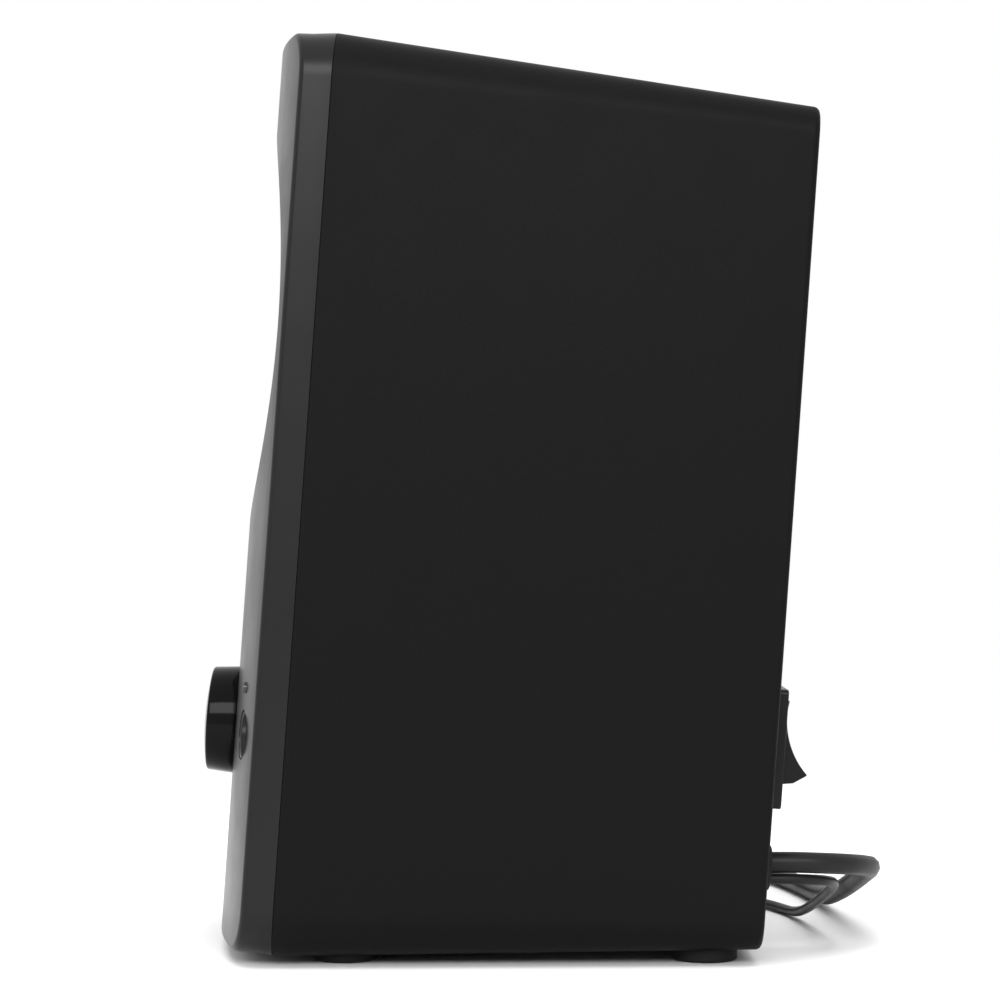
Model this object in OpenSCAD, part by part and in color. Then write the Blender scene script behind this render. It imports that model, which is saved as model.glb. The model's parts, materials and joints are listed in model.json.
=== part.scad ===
// Powered desktop loudspeaker: a leaning two-piece plastic cabinet that holds a
// three inch driver, an amplifier board, a mains transformer and two leads.
// Millimetres. +Z is up, the front faces -Y, and the floor is Z = 0.
// Most pieces are drawn with facing(): x across, y up along the leaning front,
// z forward out of the cabinet, and z = 0 at the seam between its two halves.

/* [Cabinet] */
// Backward lean of the whole cabinet
lean = 4; // [0:0.5:8]
// Width at the seam
body_w = 86; // [70:1:120]
// Height of the seam outline, along the lean
body_h = 169.2; // [160:1:220]
// Lowest edge of the seam outline above the floor
seam_low = 1.3; // [1:0.1:4]
// Depth of the rear shell behind the seam
shell_depth = 88.9; // [84:1:130]
// How far the shell's top and bottom close in towards the back
taper_h = 7.35; // [3:0.05:10]
// How far each side of the shell closes in towards the back
taper_w = 3; // [0:0.5:5]
// Corner radius of the seam outline
seam_r = 9; // [7:0.5:14]
// Corner radius of the shell's back
back_r = 5.5; // [4.5:0.5:9]
// Fillet around the shell's back edge
edge_r = 1.2; // [0.6:0.1:2]
// Thickness of the moulded walls
wall = 2.5; // [2:0.1:3]

/* [Front baffle] */
// Depth of the baffle's rim at its sides
rim_depth = 5.8; // [4:0.1:9]
// Draft of the rim, how much smaller its front edge is all round
rim_draft = 0.5; // [0.2:0.1:1]
// How far the middle of the front stands ahead of its side edges
crown = 6.3; // [4:0.1:10]
// Height of the tongue that locates the baffle in the shell
tongue_h = 3; // [2:0.5:5]
// Thickness of that tongue
tongue_t = 1.5; // [1:0.1:2]
// Sliding clearance between moulded parts
fit_gap = 0.15; // [0.05:0.05:0.3]

/* [Housing screws] */
// Corner posts' distance in from the cabinet's sides
post_side = 9; // [8:0.5:16]
// Height of the posts' centres above the seam outline's lowest edge, and below its top
post_inset = 13.2; // [11:0.1:18]
// Radius of the baffle's posts
post_r = 3.4; // [3:0.1:4]
// How far the posts reach behind the seam
post_len = 9.5; // [6:0.5:20]
// Radius of the shell's screw wells
well_r = 4.2; // [4:0.1:5]
// Radius of a screw head
screw_head_r = 2.8; // [2.5:0.1:3.2]
// Thread radius of a screw
screw_r = 1.5; // [1.2:0.1:1.8]
// Length under a screw head
screw_len = 10; // [8:1:14]

/* [Feet] */
// Radius of a rubber foot
foot_r = 6; // [4:0.5:8]
// Height of a foot, part of it sunk in the shell
foot_h = 3.2; // [2.8:0.1:5]
// Feet's distance in from the cabinet's sides
foot_side = 14; // [12:0.5:24]
// Front feet behind the seam
foot_front = 13; // [11:0.5:20]
// Rear feet ahead of the shell's back
foot_rear = 9.5; // [8:0.5:20]

/* [Driver] */
// Height of the driver's axis along the front
driver_y = 117; // [115:1:125]
// Radius of the recess in the front
recess_r = 38.75; // [38.75:0.25:40]
// Height of the ledge that carries the driver, ahead of the seam
ledge_z = 1.5; // [0.5:0.1:2]
// Thickness of the driver's gasket
gasket_t = 0.5; // [0.3:0.1:1]
// Thickness of the driver's flange
flange_t = 1.5; // [1:0.1:2]
// Radius of the circle of driver screws
driver_screw_ring = 36.2; // [36:0.1:36.6]
// Outer radius of the cone
cone_r = 26.6; // [24:0.1:27]
// Outer radius of the voice coil's former
coil_r = 9.5; // [8:0.1:9.8]
// Depth of the cone from its rim to its neck
cone_depth = 11; // [8:0.5:12]
// Radius of the dust cap
cap_r = 10.8; // [10.5:0.1:14]
// Height of the dust cap's dome
cap_h = 3.5; // [2:0.5:5]
// Radius of the magnet ring
magnet_r = 24; // [22:0.5:30]
// Thickness of the magnet ring
magnet_t = 8.5; // [6:0.5:14]

/* [Volume control] */
// Height of the knob's axis along the front
knob_y = 41.3; // [38:0.1:50]
// Radius at the knob's foot
knob_r = 10.4; // [8.5:0.1:12]
// How much narrower the knob's front rim is
knob_draft = 0.4; // [0:0.1:1]
// Height of the knob's rim above the front
knob_rim = 5.3; // [4:0.1:9]
// Height of the dome on the knob's front
knob_dome = 1; // [0.5:0.1:2]
// Depth of the knob's foot below the middle of the front, in a round pocket
knob_sink = 0.3; // [0:0.1:0.6]
// Gap between the knob and its pocket
knob_gap = 0.4; // [0.3:0.1:1]
// Radius of the potentiometer's shaft
shaft_r = 3; // [2:0.1:3.2]
// Running clearance around the shaft
shaft_gap = 0.05; // [0.02:0.01:0.1]
// Radius of the potentiometer's bushing
bushing_r = 4; // [3.6:0.1:4.5]

/* [Headphone socket and lamp] */
// Socket's distance from the middle plane
jack_x = 31; // [24:0.5:32]
// Height of the socket along the front
jack_y = 41; // [38:0.5:50]
// Radius of the socket's hole
jack_bore_r = 1.8; // [1.75:0.01:1.9]
// Depth of the socket's hole
jack_depth = 13; // [12:0.5:15]
// Outer radius of the collar around the socket
collar_r = 4.4; // [3.8:0.1:5]
// Lamp's distance from the middle plane
lamp_x = 31.5; // [24:0.5:34]
// Height of the lamp along the front
lamp_y = 49.7; // [48.5:0.1:60]
// Radius of the lamp's lens
lens_r = 1; // [0.8:0.1:1.3]

/* [Amplifier board] */
// Height of the board's lower edge along the front
board_low = 20; // [19.5:0.5:22]
// Height of the board
board_h = 46; // [44:1:50]
// Width of the board
board_w = 74; // [72:0.5:75]
// Thickness of the board
board_t = 1.6; // [1:0.1:2]
// Board's front face behind the seam
board_back = 5; // [4:0.5:6]

/* [Mains transformer] */
// Width of the core
core_w = 36; // [30:1:40]
// Height of the core
core_h = 30; // [26:1:36]
// Depth of the stack of laminations
core_stack = 18; // [12:1:22]
// Transformer's middle, across the cabinet
core_x = -4; // [-5:0.5:0]
// Transformer's middle ahead of the shell's back
core_rear = 26; // [24:1:40]
// Height of its bracket's feet above the floor
core_z = 7; // [6:0.5:10]

/* [Power switch] */
// Switch's distance from the middle plane
switch_x = 25.5; // [20:0.5:28]
// Height of the switch's middle along the back
switch_y = 45.3; // [44:0.1:60]
// Width of the switch's flange
switch_w = 15; // [13:0.5:18]
// Height of the switch's flange
switch_h = 22; // [20:0.5:26]
// Thickness of the switch's flange
switch_flange = 2.1; // [1.5:0.1:3]
// Depth of the switch behind the back wall's face
switch_depth = 15; // [12:0.5:18]
// How far the rocker tips each way from its middle position
rocker_tip = 17; // [8:0.5:17]

/* [Cable outlet] */
// Outlet's distance from the middle plane
outlet_x = 25; // [18:0.5:28]
// Height of the outlet along the back
outlet_y = 22.65; // [20:0.05:28]
// Height of the outlet's flange
outlet_h = 8.7; // [8.7:0.1:12]
// Width of the outlet's flange
outlet_w = 7; // [6.5:0.1:9]
// How far the flange stands out of the back
outlet_out = 1.7; // [1:0.1:3]

/* [Leads] */
// Diameter of the mains lead
mains_d = 4; // [3:0.1:4]
// Diameter of the signal lead
signal_d = 2; // [1.5:0.1:2]

/* [Hidden] */
$fn = 64;
HULL_FN = 40;
EPS = 0.02;

// The face of the front is part of a cylinder that stands upright.
front_half = body_w / 2 - rim_draft;
crown_r = (front_half * front_half + crown * crown) / (2 * crown);
function face_z(x) = rim_depth + crown - crown_r + sqrt(crown_r * crown_r - x * x);
function inner_z(x) = face_z(x) - wall;
back_z = -shell_depth;

// Corner posts and feet keep their places at the sides.
post_x = body_w / 2 - post_side;
foot_x = body_w / 2 - foot_side;

// Knob, measured from the face at the middle of the front.
knob_base = face_z(0) - knob_sink;
knob_front = face_z(0) + knob_rim;
dome_r = ((knob_r - knob_draft) * (knob_r - knob_draft) + knob_dome * knob_dome) / (2 * knob_dome);

// The seam is set so that the origin is midway between the knob and the shell's top back edge.
back_top = seam_low + body_h - taper_h;
reach_back = (shell_depth - edge_r) * cos(lean) + (back_top - edge_r) * sin(lean) + edge_r;
reach_front = (dome_r - knob_front - knob_dome) * cos(lean) + knob_y * sin(lean) - dome_r;
seam_y = -(reach_back + reach_front) / 2;

// Driver levels, counted forward from the seam.
flange_back = ledge_z + gasket_t;
flange_face = flange_back + flange_t;
lip_t = 0.5;
roll_r = 2.6;
roll_mid = cone_r + roll_r - 0.3;
lip_r = 33.8;
ledge_hole_r = 33.5;
basket_t = 1;
spider_z = flange_face - 13.5;
plate_z = flange_face - 21.5;
plate_t = 3.5;
neck_z = flange_face - cone_depth;
pole_gap = 0.4;
glue_r = coil_r + 0.03;
pin_r = 1;

module leaned() translate([0, seam_y, 0]) rotate([-lean, 0, 0]) children();
module facing(x = 0, y = 0) leaned() translate([x, 0, y]) rotate([90, 0, 0]) children();
module disc(r, low, high) translate([0, 0, low]) cylinder(h = high - low, r = r);
module ring(inner, outer, low, high) difference() {
    disc(outer, low, high);
    disc(inner, low - 1, high + 1);
}
module block(size, x, y, low) translate([x - size[0] / 2, y - size[1] / 2, low]) cube(size);
module at_corners(x, low, high) for (side = [-1, 1], y = [low, high]) translate([side * x, y, 0]) children();

// A rectangle with round corners, from y = low to y = high.
module round_rect(half, low, high, r) {
    translate([-half, low + r]) square([2 * half, high - low - 2 * r]);
    translate([r - half, low]) square([2 * (half - r), high - low]);
    for (x = [r - half, half - r], y = [low + r, high - r]) translate([x, y]) circle(r);
}

// A round bar along points, one ring at each point.
function unit(v) = v / norm(v);
function heading(p, i) = unit(p[min(i + 1, len(p) - 1)] - p[max(i - 1, 0)]);
module bar(points, r, sides = 8, up = [0, 0, 1]) {
    n = len(points);
    rings = [for (i = [0:n - 1]) let (t = heading(points, i), a = unit(cross(t, up)), b = cross(a, t))
        for (k = [0:sides - 1]) points[i] + r * (cos(360 * k / sides) * a + sin(360 * k / sides) * b)];
    polyhedron(rings, concat([[for (k = [0:sides - 1]) k]],
        [for (i = [0:n - 2], k = [0:sides - 1]) let (m = (k + 1) % sides)
            [i * sides + k, (i + 1) * sides + k, (i + 1) * sides + m, i * sides + m]],
        [[for (k = [sides - 1:-1:0]) (n - 1) * sides + k]]));
}

// ---- Cabinet ----
post_low = seam_low + post_inset;
post_high = seam_low + body_h - post_inset;
well_floor = 2.5;
foot_front_y = seam_y + foot_front;
foot_rear_y = seam_y + shell_depth - foot_rear;
pad_h = 2;
boss_r = 3;
core_y = seam_y + shell_depth - core_rear;
foot_span = core_w / 2 + 3.8;

module shell_slab(t, inset, z) {
    half = body_w / 2 - taper_w * t - inset;
    low = seam_low + taper_h * t + inset;
    high = seam_low + body_h - taper_h * t - inset;
    translate([0, 0, z]) linear_extrude(EPS)
        round_rect(half, low, high, max(0.5, seam_r + (back_r - seam_r) * t - inset), $fn = HULL_FN);
}
module shell_form() hull() {
    shell_slab(0, 0, -EPS);
    for (a = [0:18:90]) shell_slab(1, edge_r * (1 - cos(a)), back_z + edge_r * (1 - sin(a)));
}
module shell_cavity() hull() {
    shell_slab(-0.02, wall, 0.02 * shell_depth);
    shell_slab(1, wall, back_z + wall);
}
module at_feet() for (x = [-foot_x, foot_x], y = [foot_front_y, foot_rear_y]) translate([x, y, 0]) children();
module at_core_feet() for (side = [-1, 1]) translate([core_x + side * foot_span, core_y, 0]) children();

module rear_shell() color([0.13, 0.13, 0.13]) difference() {
    union() {
        facing() difference() {
            shell_form();
            shell_cavity();
        }
        intersection() {
            facing() shell_form();
            union() {
                facing() at_corners(post_x, post_low, post_high) disc(well_r, back_z, -post_len);
                at_feet() disc(foot_r + 2, 0, foot_h + pad_h);
                at_core_feet() disc(boss_r, 0, core_z);
            }
        }
    }
    facing() {
        at_corners(post_x, post_low, post_high) {
            disc(screw_head_r + 0.3, back_z - 1, -post_len - well_floor);
            disc(screw_r + 0.2, back_z, 0);
        }
        block([switch_w - 1.8, switch_h - 2.6, 2 * wall + 2], switch_x, switch_y, back_z - wall);
        outlet_neck(0.1, back_z - 1, back_z + wall + 1);
    }
    at_feet() disc(foot_r + 0.1, -1, foot_h);
    at_core_feet() disc(1.1, core_z - 3.2, core_z + 1);
}

module baffle_form(inset) intersection() {
    hull() {
        shell_slab(0, inset, 0);
        shell_slab(0, inset + rim_draft, rim_depth);
        shell_slab(0, inset + rim_draft, rim_depth + crown + 1);
    }
    translate([0, 0, rim_depth + crown - crown_r]) rotate([-90, 0, 0])
        cylinder(h = body_h + 40, r = crown_r - inset, $fn = 180);
}
module front_baffle() color([0.2, 0.2, 0.2]) facing() difference() {
    union() {
        difference() {
            baffle_form(0);
            translate([0, 0, -EPS]) baffle_form(wall);
        }
        intersection() {
            baffle_form(0);
            translate([0, driver_y, 0]) disc(recess_r + 2, 0, rim_depth + crown);
        }
        translate([0, driver_y, 0]) {
            ring(ledge_hole_r, recess_r + 2, 0, ledge_z);
            at_driver_screws() disc(2.3, ledge_z - 8, ledge_z);
        }
        difference() {
            union() {
                translate([0, 0, -tongue_h]) linear_extrude(2 * tongue_h)
                    round_rect(tongue_half, tongue_low, tongue_high, seam_r - wall - fit_gap);
                linear_extrude(tongue_h) round_rect(body_w / 2 - tongue_root, seam_low + tongue_root,
                    seam_low + body_h - tongue_root, seam_r - tongue_root);
            }
            translate([0, 0, -tongue_h - 1]) linear_extrude(2 * tongue_h + 2)
                round_rect(tongue_half - tongue_t, tongue_low + tongue_t, tongue_high - tongue_t,
                    seam_r - wall - fit_gap - tongue_t);
        }
        at_corners(post_x, post_low, post_high) disc(post_r, -post_len, inner_z(post_x) + 1);
        at_board_screws() disc(2.6, -board_back, inner_z(board_screw_x) + 1);
    }
    translate([0, driver_y, 0]) {
        disc(recess_r, ledge_z, rim_depth + crown + 2);
        disc(ledge_hole_r, -1, ledge_z + 1);
        at_driver_screws() disc(0.9, ledge_z - 7, ledge_z + 1);
    }
    at_corners(post_x, post_low, post_high) disc(1.25, -post_len - 1, 1);
    at_board_screws() disc(0.9, -board_back - 1, 2);
    translate([0, knob_y, 0]) {
        disc(bushing_r + 0.1, 0, face_z(0) + 1);
        disc(nut_r + 1, nut_z, face_z(0) + 1);
        disc(knob_r + knob_gap, knob_base - knob_gap, face_z(0) + 1);
    }
    translate([jack_x, jack_y, 0]) {
        disc(jack_neck_r + 0.1, 0, face_z(jack_x) + 3);
        disc(collar_r + 0.2, collar_z, face_z(0) + 3);
    }
    translate([lamp_x, lamp_y, 0]) disc(lens_r + 0.1, 0, face_z(lamp_x) + 3);
}
tongue_root = wall - 0.3;
tongue_half = body_w / 2 - wall - fit_gap - 0.1;
tongue_low = seam_low + wall + fit_gap + 0.3;
tongue_high = seam_low + body_h - wall - fit_gap - 0.3;

module housing_screws() color("silver") facing() at_corners(post_x, post_low, post_high) {
    head_z = -post_len - well_floor;
    difference() {
        disc(screw_head_r, head_z - 2, head_z);
        block([3.2, 0.7, 1.2], 0, 0, head_z - 2.6);
        block([0.7, 3.2, 1.2], 0, 0, head_z - 2.6);
    }
    disc(1.25, head_z, head_z + screw_len);
}
module rubber_feet() color([0.08, 0.08, 0.08]) at_feet() difference() {
    disc(foot_r, 0, foot_h);
    ring(foot_r * 0.45, foot_r * 0.6, -1, 0.4);
}

// ---- Driver, with z = 0 at the seam and forward positive ----
module at_driver() facing(0, driver_y) children();
module at_driver_screws() for (a = [45:90:315]) rotate([0, 0, a]) translate([driver_screw_ring, 0, 0]) children();

module driver_trim_ring() color([0.16, 0.16, 0.16]) at_driver() rotate_extrude($fn = 128)
    polygon([[lip_r + 0.1, flange_face], [recess_r - 0.15, flange_face], [recess_r - 0.15, rim_depth + 0.9],
        [recess_r - 0.8, rim_depth + 1], [lip_r + 0.8, flange_face + 1.6], [lip_r + 0.1, flange_face + 1]]);
module driver_gasket() color([0.1, 0.1, 0.1]) at_driver() difference() {
    ring(ledge_hole_r, recess_r - 0.4, ledge_z, flange_back);
    at_driver_screws() disc(1.3, ledge_z - 1, flange_back + 1);
}
module driver_basket() color([0.25, 0.25, 0.26]) at_driver() difference() {
    union() {
        ring(31.8, recess_r - 0.3, flange_back, flange_face);
        rotate_extrude($fn = 128) polygon([[31.8, flange_face], [32.9, flange_back], [23.5, spider_z],
            [23.5, spider_z - basket_t], [21, spider_z - basket_t], [20.6, plate_z], [coil_r + 1.2, plate_z],
            [coil_r + 1.2, plate_z + basket_t], [19.6, plate_z + basket_t], [20, spider_z], [22.4, spider_z],
            [31.6, flange_back]]);
    }
    at_driver_screws() {
        disc(1.3, flange_back - 1, flange_face + 1);
        disc(2, flange_face - 0.9, flange_face + 1);
    }
    for (a = [0:60:300]) rotate([0, 0, a + 30]) translate([23.8, -7, spider_z + 2]) cube([14, 14, 8.5]);
}
module driver_screws() color("silver") at_driver() at_driver_screws() {
    disc(1.9, flange_face - 0.9, flange_face);
    disc(0.9, ledge_z - 5, flange_face - 0.9);
}
module driver_surround() color([0.1, 0.1, 0.1]) at_driver() {
    ring(roll_mid + roll_r - 0.1, lip_r, flange_face, flange_face + lip_t);
    ring(cone_r - 2, roll_mid - roll_r + 0.1, flange_face, flange_face + lip_t);
    rotate_extrude($fn = 128) translate([roll_mid, flange_face]) difference() {
        circle(roll_r);
        circle(roll_r - lip_t);
        translate([-5, -10]) square([10, 10]);
    }
}
module driver_cone() color([0.12, 0.12, 0.12]) at_driver() rotate_extrude($fn = 128)
    polygon([[cone_r, flange_face], [cone_r - 2, flange_face], [coil_r + 0.5, neck_z + 0.6], [glue_r, neck_z + 0.6],
        [glue_r, neck_z], [coil_r + 0.6, neck_z], [cone_r - 1.9, flange_face - 0.6], [cone_r, flange_face - 0.6]]);
module driver_dust_cap() color([0.14, 0.14, 0.14]) at_driver() {
    cap_base = neck_z + 0.7 + (cap_r - coil_r) * (cone_depth - 0.6) / (cone_r - coil_r - 2.5);
    sphere_r = (cap_r * cap_r + cap_h * cap_h) / (2 * cap_h);
    translate([0, 0, cap_base + cap_h - sphere_r]) difference() {
        sphere(sphere_r, $fn = 96);
        sphere(sphere_r - 0.5, $fn = 96);
        translate([-sphere_r - 1, -sphere_r - 1, -sphere_r - 1])
            cube([2 * sphere_r + 2, 2 * sphere_r + 2, 2 * sphere_r + 1 - cap_h]);
    }
}
module driver_spider() color([0.75, 0.6, 0.3]) at_driver() rotate_extrude()
    polygon(concat([for (i = [0:6]) [coil_r + i * (22.2 - coil_r) / 6, spider_z + 0.2 + 0.9 * (i % 2)]],
        [for (i = [6:-1:0]) [coil_r + i * (22.2 - coil_r) / 6, spider_z + 0.6 + 0.9 * (i % 2)]]));
module driver_voice_coil() color([0.75, 0.4, 0.2]) at_driver() {
    ring(coil_r - 0.4, coil_r, plate_z - plate_t - 1, neck_z + 0.6);
    ring(coil_r, coil_r + 0.4, plate_z - plate_t - 1, plate_z + 1.5);
}
module driver_top_plate() color("gray") at_driver() ring(coil_r + 0.9, magnet_r - 3, plate_z - plate_t, plate_z);
module driver_magnet() color([0.2, 0.2, 0.2]) at_driver()
    ring(coil_r + 2.5, magnet_r, plate_z - plate_t - magnet_t, plate_z - plate_t);
module driver_back_plate() color("gray") at_driver() {
    disc(magnet_r - 3, plate_z - plate_t - magnet_t - 3, plate_z - plate_t - magnet_t);
    disc(coil_r - 0.4 - pole_gap, plate_z - plate_t - magnet_t - 0.5, plate_z);
}
module driver_terminals() at_driver() {
    color([0.5, 0.35, 0.2]) block([14, 12, 1.2], 0, -27.2, spider_z - basket_t - 1.2);
    color("gold") for (x = [-4, 4]) block([2.8, 6, 0.5], x, -35, spider_z - basket_t - 1.7);
    color("gold") for (x = [-4, 4]) block([2.8, 6, 0.5], x, -31, spider_z - basket_t - 1.7);
}

// ---- Amplifier board and front controls ----
board_screw_x = 18;
board_mid = board_low + board_h / 2;
board_rear = -board_back - board_t;
nut_r = 6;
nut_z = face_z(0) - 1;
nut_t = 1.5;
bushing_end = nut_z + nut_t + 0.3;
pot_face = 4.5;
jack_neck_r = 3;
collar_z = face_z(jack_x + collar_r) - 0.5;
collar_t = 1.5;
jack_face = inner_z(jack_x + 5.7) - 0.3;

module at_board_screws() at_corners(board_screw_x, board_low + 4, board_low + board_h - 4) children();
module amplifier_board() color([0.1, 0.35, 0.15]) facing() difference() {
    block([board_w, board_h, board_t], 0, board_mid, board_rear);
    at_board_screws() disc(1.2, board_rear - 1, -board_back + 1);
}
module board_screws() color("silver") facing() at_board_screws() {
    disc(2.4, board_rear - 1.6, board_rear);
    disc(0.9, board_rear, 1);
}
module can(x, y, r, h) translate([x, y, 0]) {
    disc(r, board_rear - h, board_rear);
    disc(r - 1, board_rear - h - 0.3, board_rear - h);
}
module electrolytic_capacitors() color([0.15, 0.2, 0.35]) facing() {
    can(2, board_low + 10, 6.3, 20);
    can(28, board_low + 11, 6.3, 20);
    can(28, board_low + 27, 5, 12);
    can(28, board_low + 39, 4, 11);
}
module amplifier_ic() color([0.1, 0.1, 0.1]) facing() block([20, 17, 4.5], -23, board_mid - 4, board_rear - 4.5);
module heatsink() color("silver") facing() {
    block([26, 30, 2], -23, board_mid + 1, board_rear - 6.5);
    for (i = [0:5]) block([26, 1.4, 11], -23, board_mid - 13 + i * 5.6, board_rear - 17.5);
}
module board_connectors() color([0.9, 0.9, 0.85]) facing() for (i = [0:2])
    block([7.5, 5.7, 7], 2 + i * 8, board_low + board_h - 13, board_rear - 7);
module volume_potentiometer() color([0.3, 0.32, 0.35]) facing(0, knob_y) difference() {
    union() {
        block([13, 13, pot_face + board_back], 0, 0, -board_back);
        disc(bushing_r, pot_face, bushing_end);
    }
    disc(shaft_r + shaft_gap, pot_face - 4, bushing_end + 1);
}
module potentiometer_nut() color("silver") facing(0, knob_y) difference() {
    translate([0, 0, nut_z]) cylinder(h = nut_t, r = nut_r, $fn = 6);
    disc(bushing_r, nut_z - 1, nut_z + nut_t + 1);
}
module shaft_form(grow, low, high) difference() {
    disc(shaft_r + grow, low, high);
    block([10, 5, high - bushing_end + 1], 0, shaft_r / 2 + grow + 2.5, bushing_end + 0.2);
}
module potentiometer_shaft() color("silver") facing(0, knob_y)
    shaft_form(0, pot_face - 3.9, knob_front - 0.6);
module volume_knob() color([0.09, 0.09, 0.09]) facing(0, knob_y) difference() {
    union() {
        translate([0, 0, knob_base])
            cylinder(h = knob_front - knob_base, r1 = knob_r, r2 = knob_r - knob_draft, $fn = 128);
        intersection() {
            translate([0, 0, knob_front + knob_dome - dome_r]) sphere(dome_r, $fn = 200);
            disc(knob_r - knob_draft, knob_front - 0.5, knob_front + knob_dome);
        }
    }
    disc(nut_r + 1.2, knob_base - 1, bushing_end + 0.3);
    shaft_form(0.02, bushing_end, knob_front - 0.5);
    block(pointer, 0, pointer_y, knob_front - 0.4);
}
pointer = [0.9, 3, 1];
pointer_y = knob_r - 3.4;
module knob_pointer() color("white") facing(0, knob_y) block(pointer, 0, pointer_y, knob_front - 0.4);
module headphone_jack() color([0.08, 0.08, 0.08]) facing(jack_x, jack_y) difference() {
    union() {
        block([11.4, 11, jack_face + board_back], 0, 0, -board_back);
        disc(jack_neck_r, jack_face - 1, collar_z + collar_t);
    }
    disc(jack_bore_r, collar_z + collar_t - jack_depth, collar_z + collar_t + 1);
}
module headphone_jack_collar() color([0.3, 0.3, 0.3]) facing(jack_x, jack_y)
    ring(jack_neck_r, collar_r, collar_z, collar_z + collar_t);
module power_led() color([0.8, 0.85, 0.8]) facing(lamp_x, lamp_y) {
    disc(1.5, -2, 3.5);
    for (x = [-0.8, 0.8]) block([0.5, 0.5, board_back - 2], x, 0, -board_back);
}
module led_lens() color([0.2, 0.5, 0.9]) facing(lamp_x, lamp_y) disc(lens_r, 3.5, face_z(lamp_x) + 0.3);

// ---- Mains transformer, upright in the shell ----
leg = core_w / 6;
strap_t = 1;
core_low = core_z + strap_t;
module at_core() translate([core_x, core_y, core_low]) rotate([90, 0, 0]) children();
module transformer_core() color([0.45, 0.45, 0.47]) at_core() difference() {
    block([core_w, core_h, core_stack], 0, core_h / 2, -core_stack / 2);
    for (side = [-1, 1]) block([leg, core_h - 2 * leg, core_stack + 2], side * 1.5 * leg, core_h / 2, -core_stack / 2 - 1);
}
module transformer_winding() color([0.85, 0.75, 0.35]) at_core() difference() {
    block([4 * leg - 0.4, core_h - 2 * leg - 0.4, core_stack + 2 * leg], 0, core_h / 2, -core_stack / 2 - leg);
    block([2 * leg + 0.2, core_h, core_stack + 0.2], 0, core_h / 2, -core_stack / 2 - 0.1);
}
module transformer_bracket() color([0.7, 0.7, 0.72]) at_core() {
    difference() {
        block([core_w + 2 * strap_t, core_h + strap_t, core_stack - 4], 0, (core_h + strap_t) / 2, -core_stack / 2 + 2);
        block([core_w, 2 * core_h, core_stack], 0, 0, -core_stack / 2);
    }
    for (side = [-1, 1]) difference() {
        block([7, strap_t, core_stack - 4], side * (core_w / 2 + 3.5), -strap_t / 2, -core_stack / 2 + 2);
        translate([side * foot_span, 1, 0]) rotate([90, 0, 0]) cylinder(h = 4, r = 1.6);
    }
}
module transformer_screws() color("silver") at_core_feet() {
    disc(1.1, core_z - 3, core_z + strap_t);
    disc(2.2, core_z + strap_t, core_z + strap_t + 1.5);
}

// ---- Power switch; y is counted from the switch's middle ----
slot_half = switch_h / 2 - 1.9;
rocker_half = slot_half - 1.9;
rocker_w = switch_w - 4.6;
hub_z = back_z + 2.4;
rocker_waist = switch_flange + 2.4;
rocker_out = rocker_waist + 2.9;
module at_switch() facing(switch_x, switch_y) children();
module switch_frame() color([0.12, 0.12, 0.12]) at_switch() difference() {
    union() {
        block([switch_w, switch_h, switch_flange], 0, 0, back_z - switch_flange);
        block([switch_w - 2, switch_h - 2.8, switch_depth], 0, 0, back_z);
    }
    block([rocker_w + 0.4, 2 * slot_half, switch_flange + 11], 0, 0, back_z - switch_flange - 1);
    translate([-switch_w, 0, hub_z]) rotate([0, 90, 0]) disc(pin_r + 0.05, 1, 2 * switch_w - 1);
}
// The rocker's outline in its middle position: x across its face, y out of the cabinet.
module rocker_outline() difference() {
    polygon([[-rocker_half, 0], [-rocker_half - 0.7, rocker_waist], [-rocker_half + 0.1, rocker_out],
        [rocker_half - 0.1, rocker_out], [rocker_half + 0.7, rocker_waist], [rocker_half, 0],
        [3, -3.5], [-3, -3.5]]);
    translate([0, rocker_out + 13.2]) circle(15, $fn = 96);
}
module switch_rocker() color([0.1, 0.1, 0.1]) at_switch() translate([0, 0, hub_z]) rotate([rocker_tip, 0, 0]) {
    rotate([-90, 0, 90]) translate([0, 0, -rocker_w / 2]) linear_extrude(rocker_w) rocker_outline();
    rotate([0, 90, 0]) disc(pin_r, -rocker_w / 2 - 1.2, rocker_w / 2 + 1.2);
}
module switch_terminals() color("gold") at_switch() for (y = [-5, 5])
    block([4.8, 0.8, 7], 0, y, back_z + switch_depth);

// ---- Cable outlet ----
module outlet_form(w, h, low, high) translate([outlet_x, outlet_y, low]) linear_extrude(high - low) {
    square([w, h - w], center = true);
    for (y = [-1, 1]) translate([0, y * (h - w) / 2]) circle(w / 2);
}
module outlet_neck(grow, low, high) outlet_form(outlet_w - 1.2 + 2 * grow, outlet_h - 1.2 + 2 * grow, low, high);
module cable_grommet() color([0.07, 0.07, 0.07]) facing() {
    outlet_form(outlet_w, outlet_h, back_z - outlet_out, back_z);
    outlet_neck(0, back_z, back_z + wall);
    outlet_form(outlet_w, outlet_h, back_z + wall, back_z + wall + 1.2);
}

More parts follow.
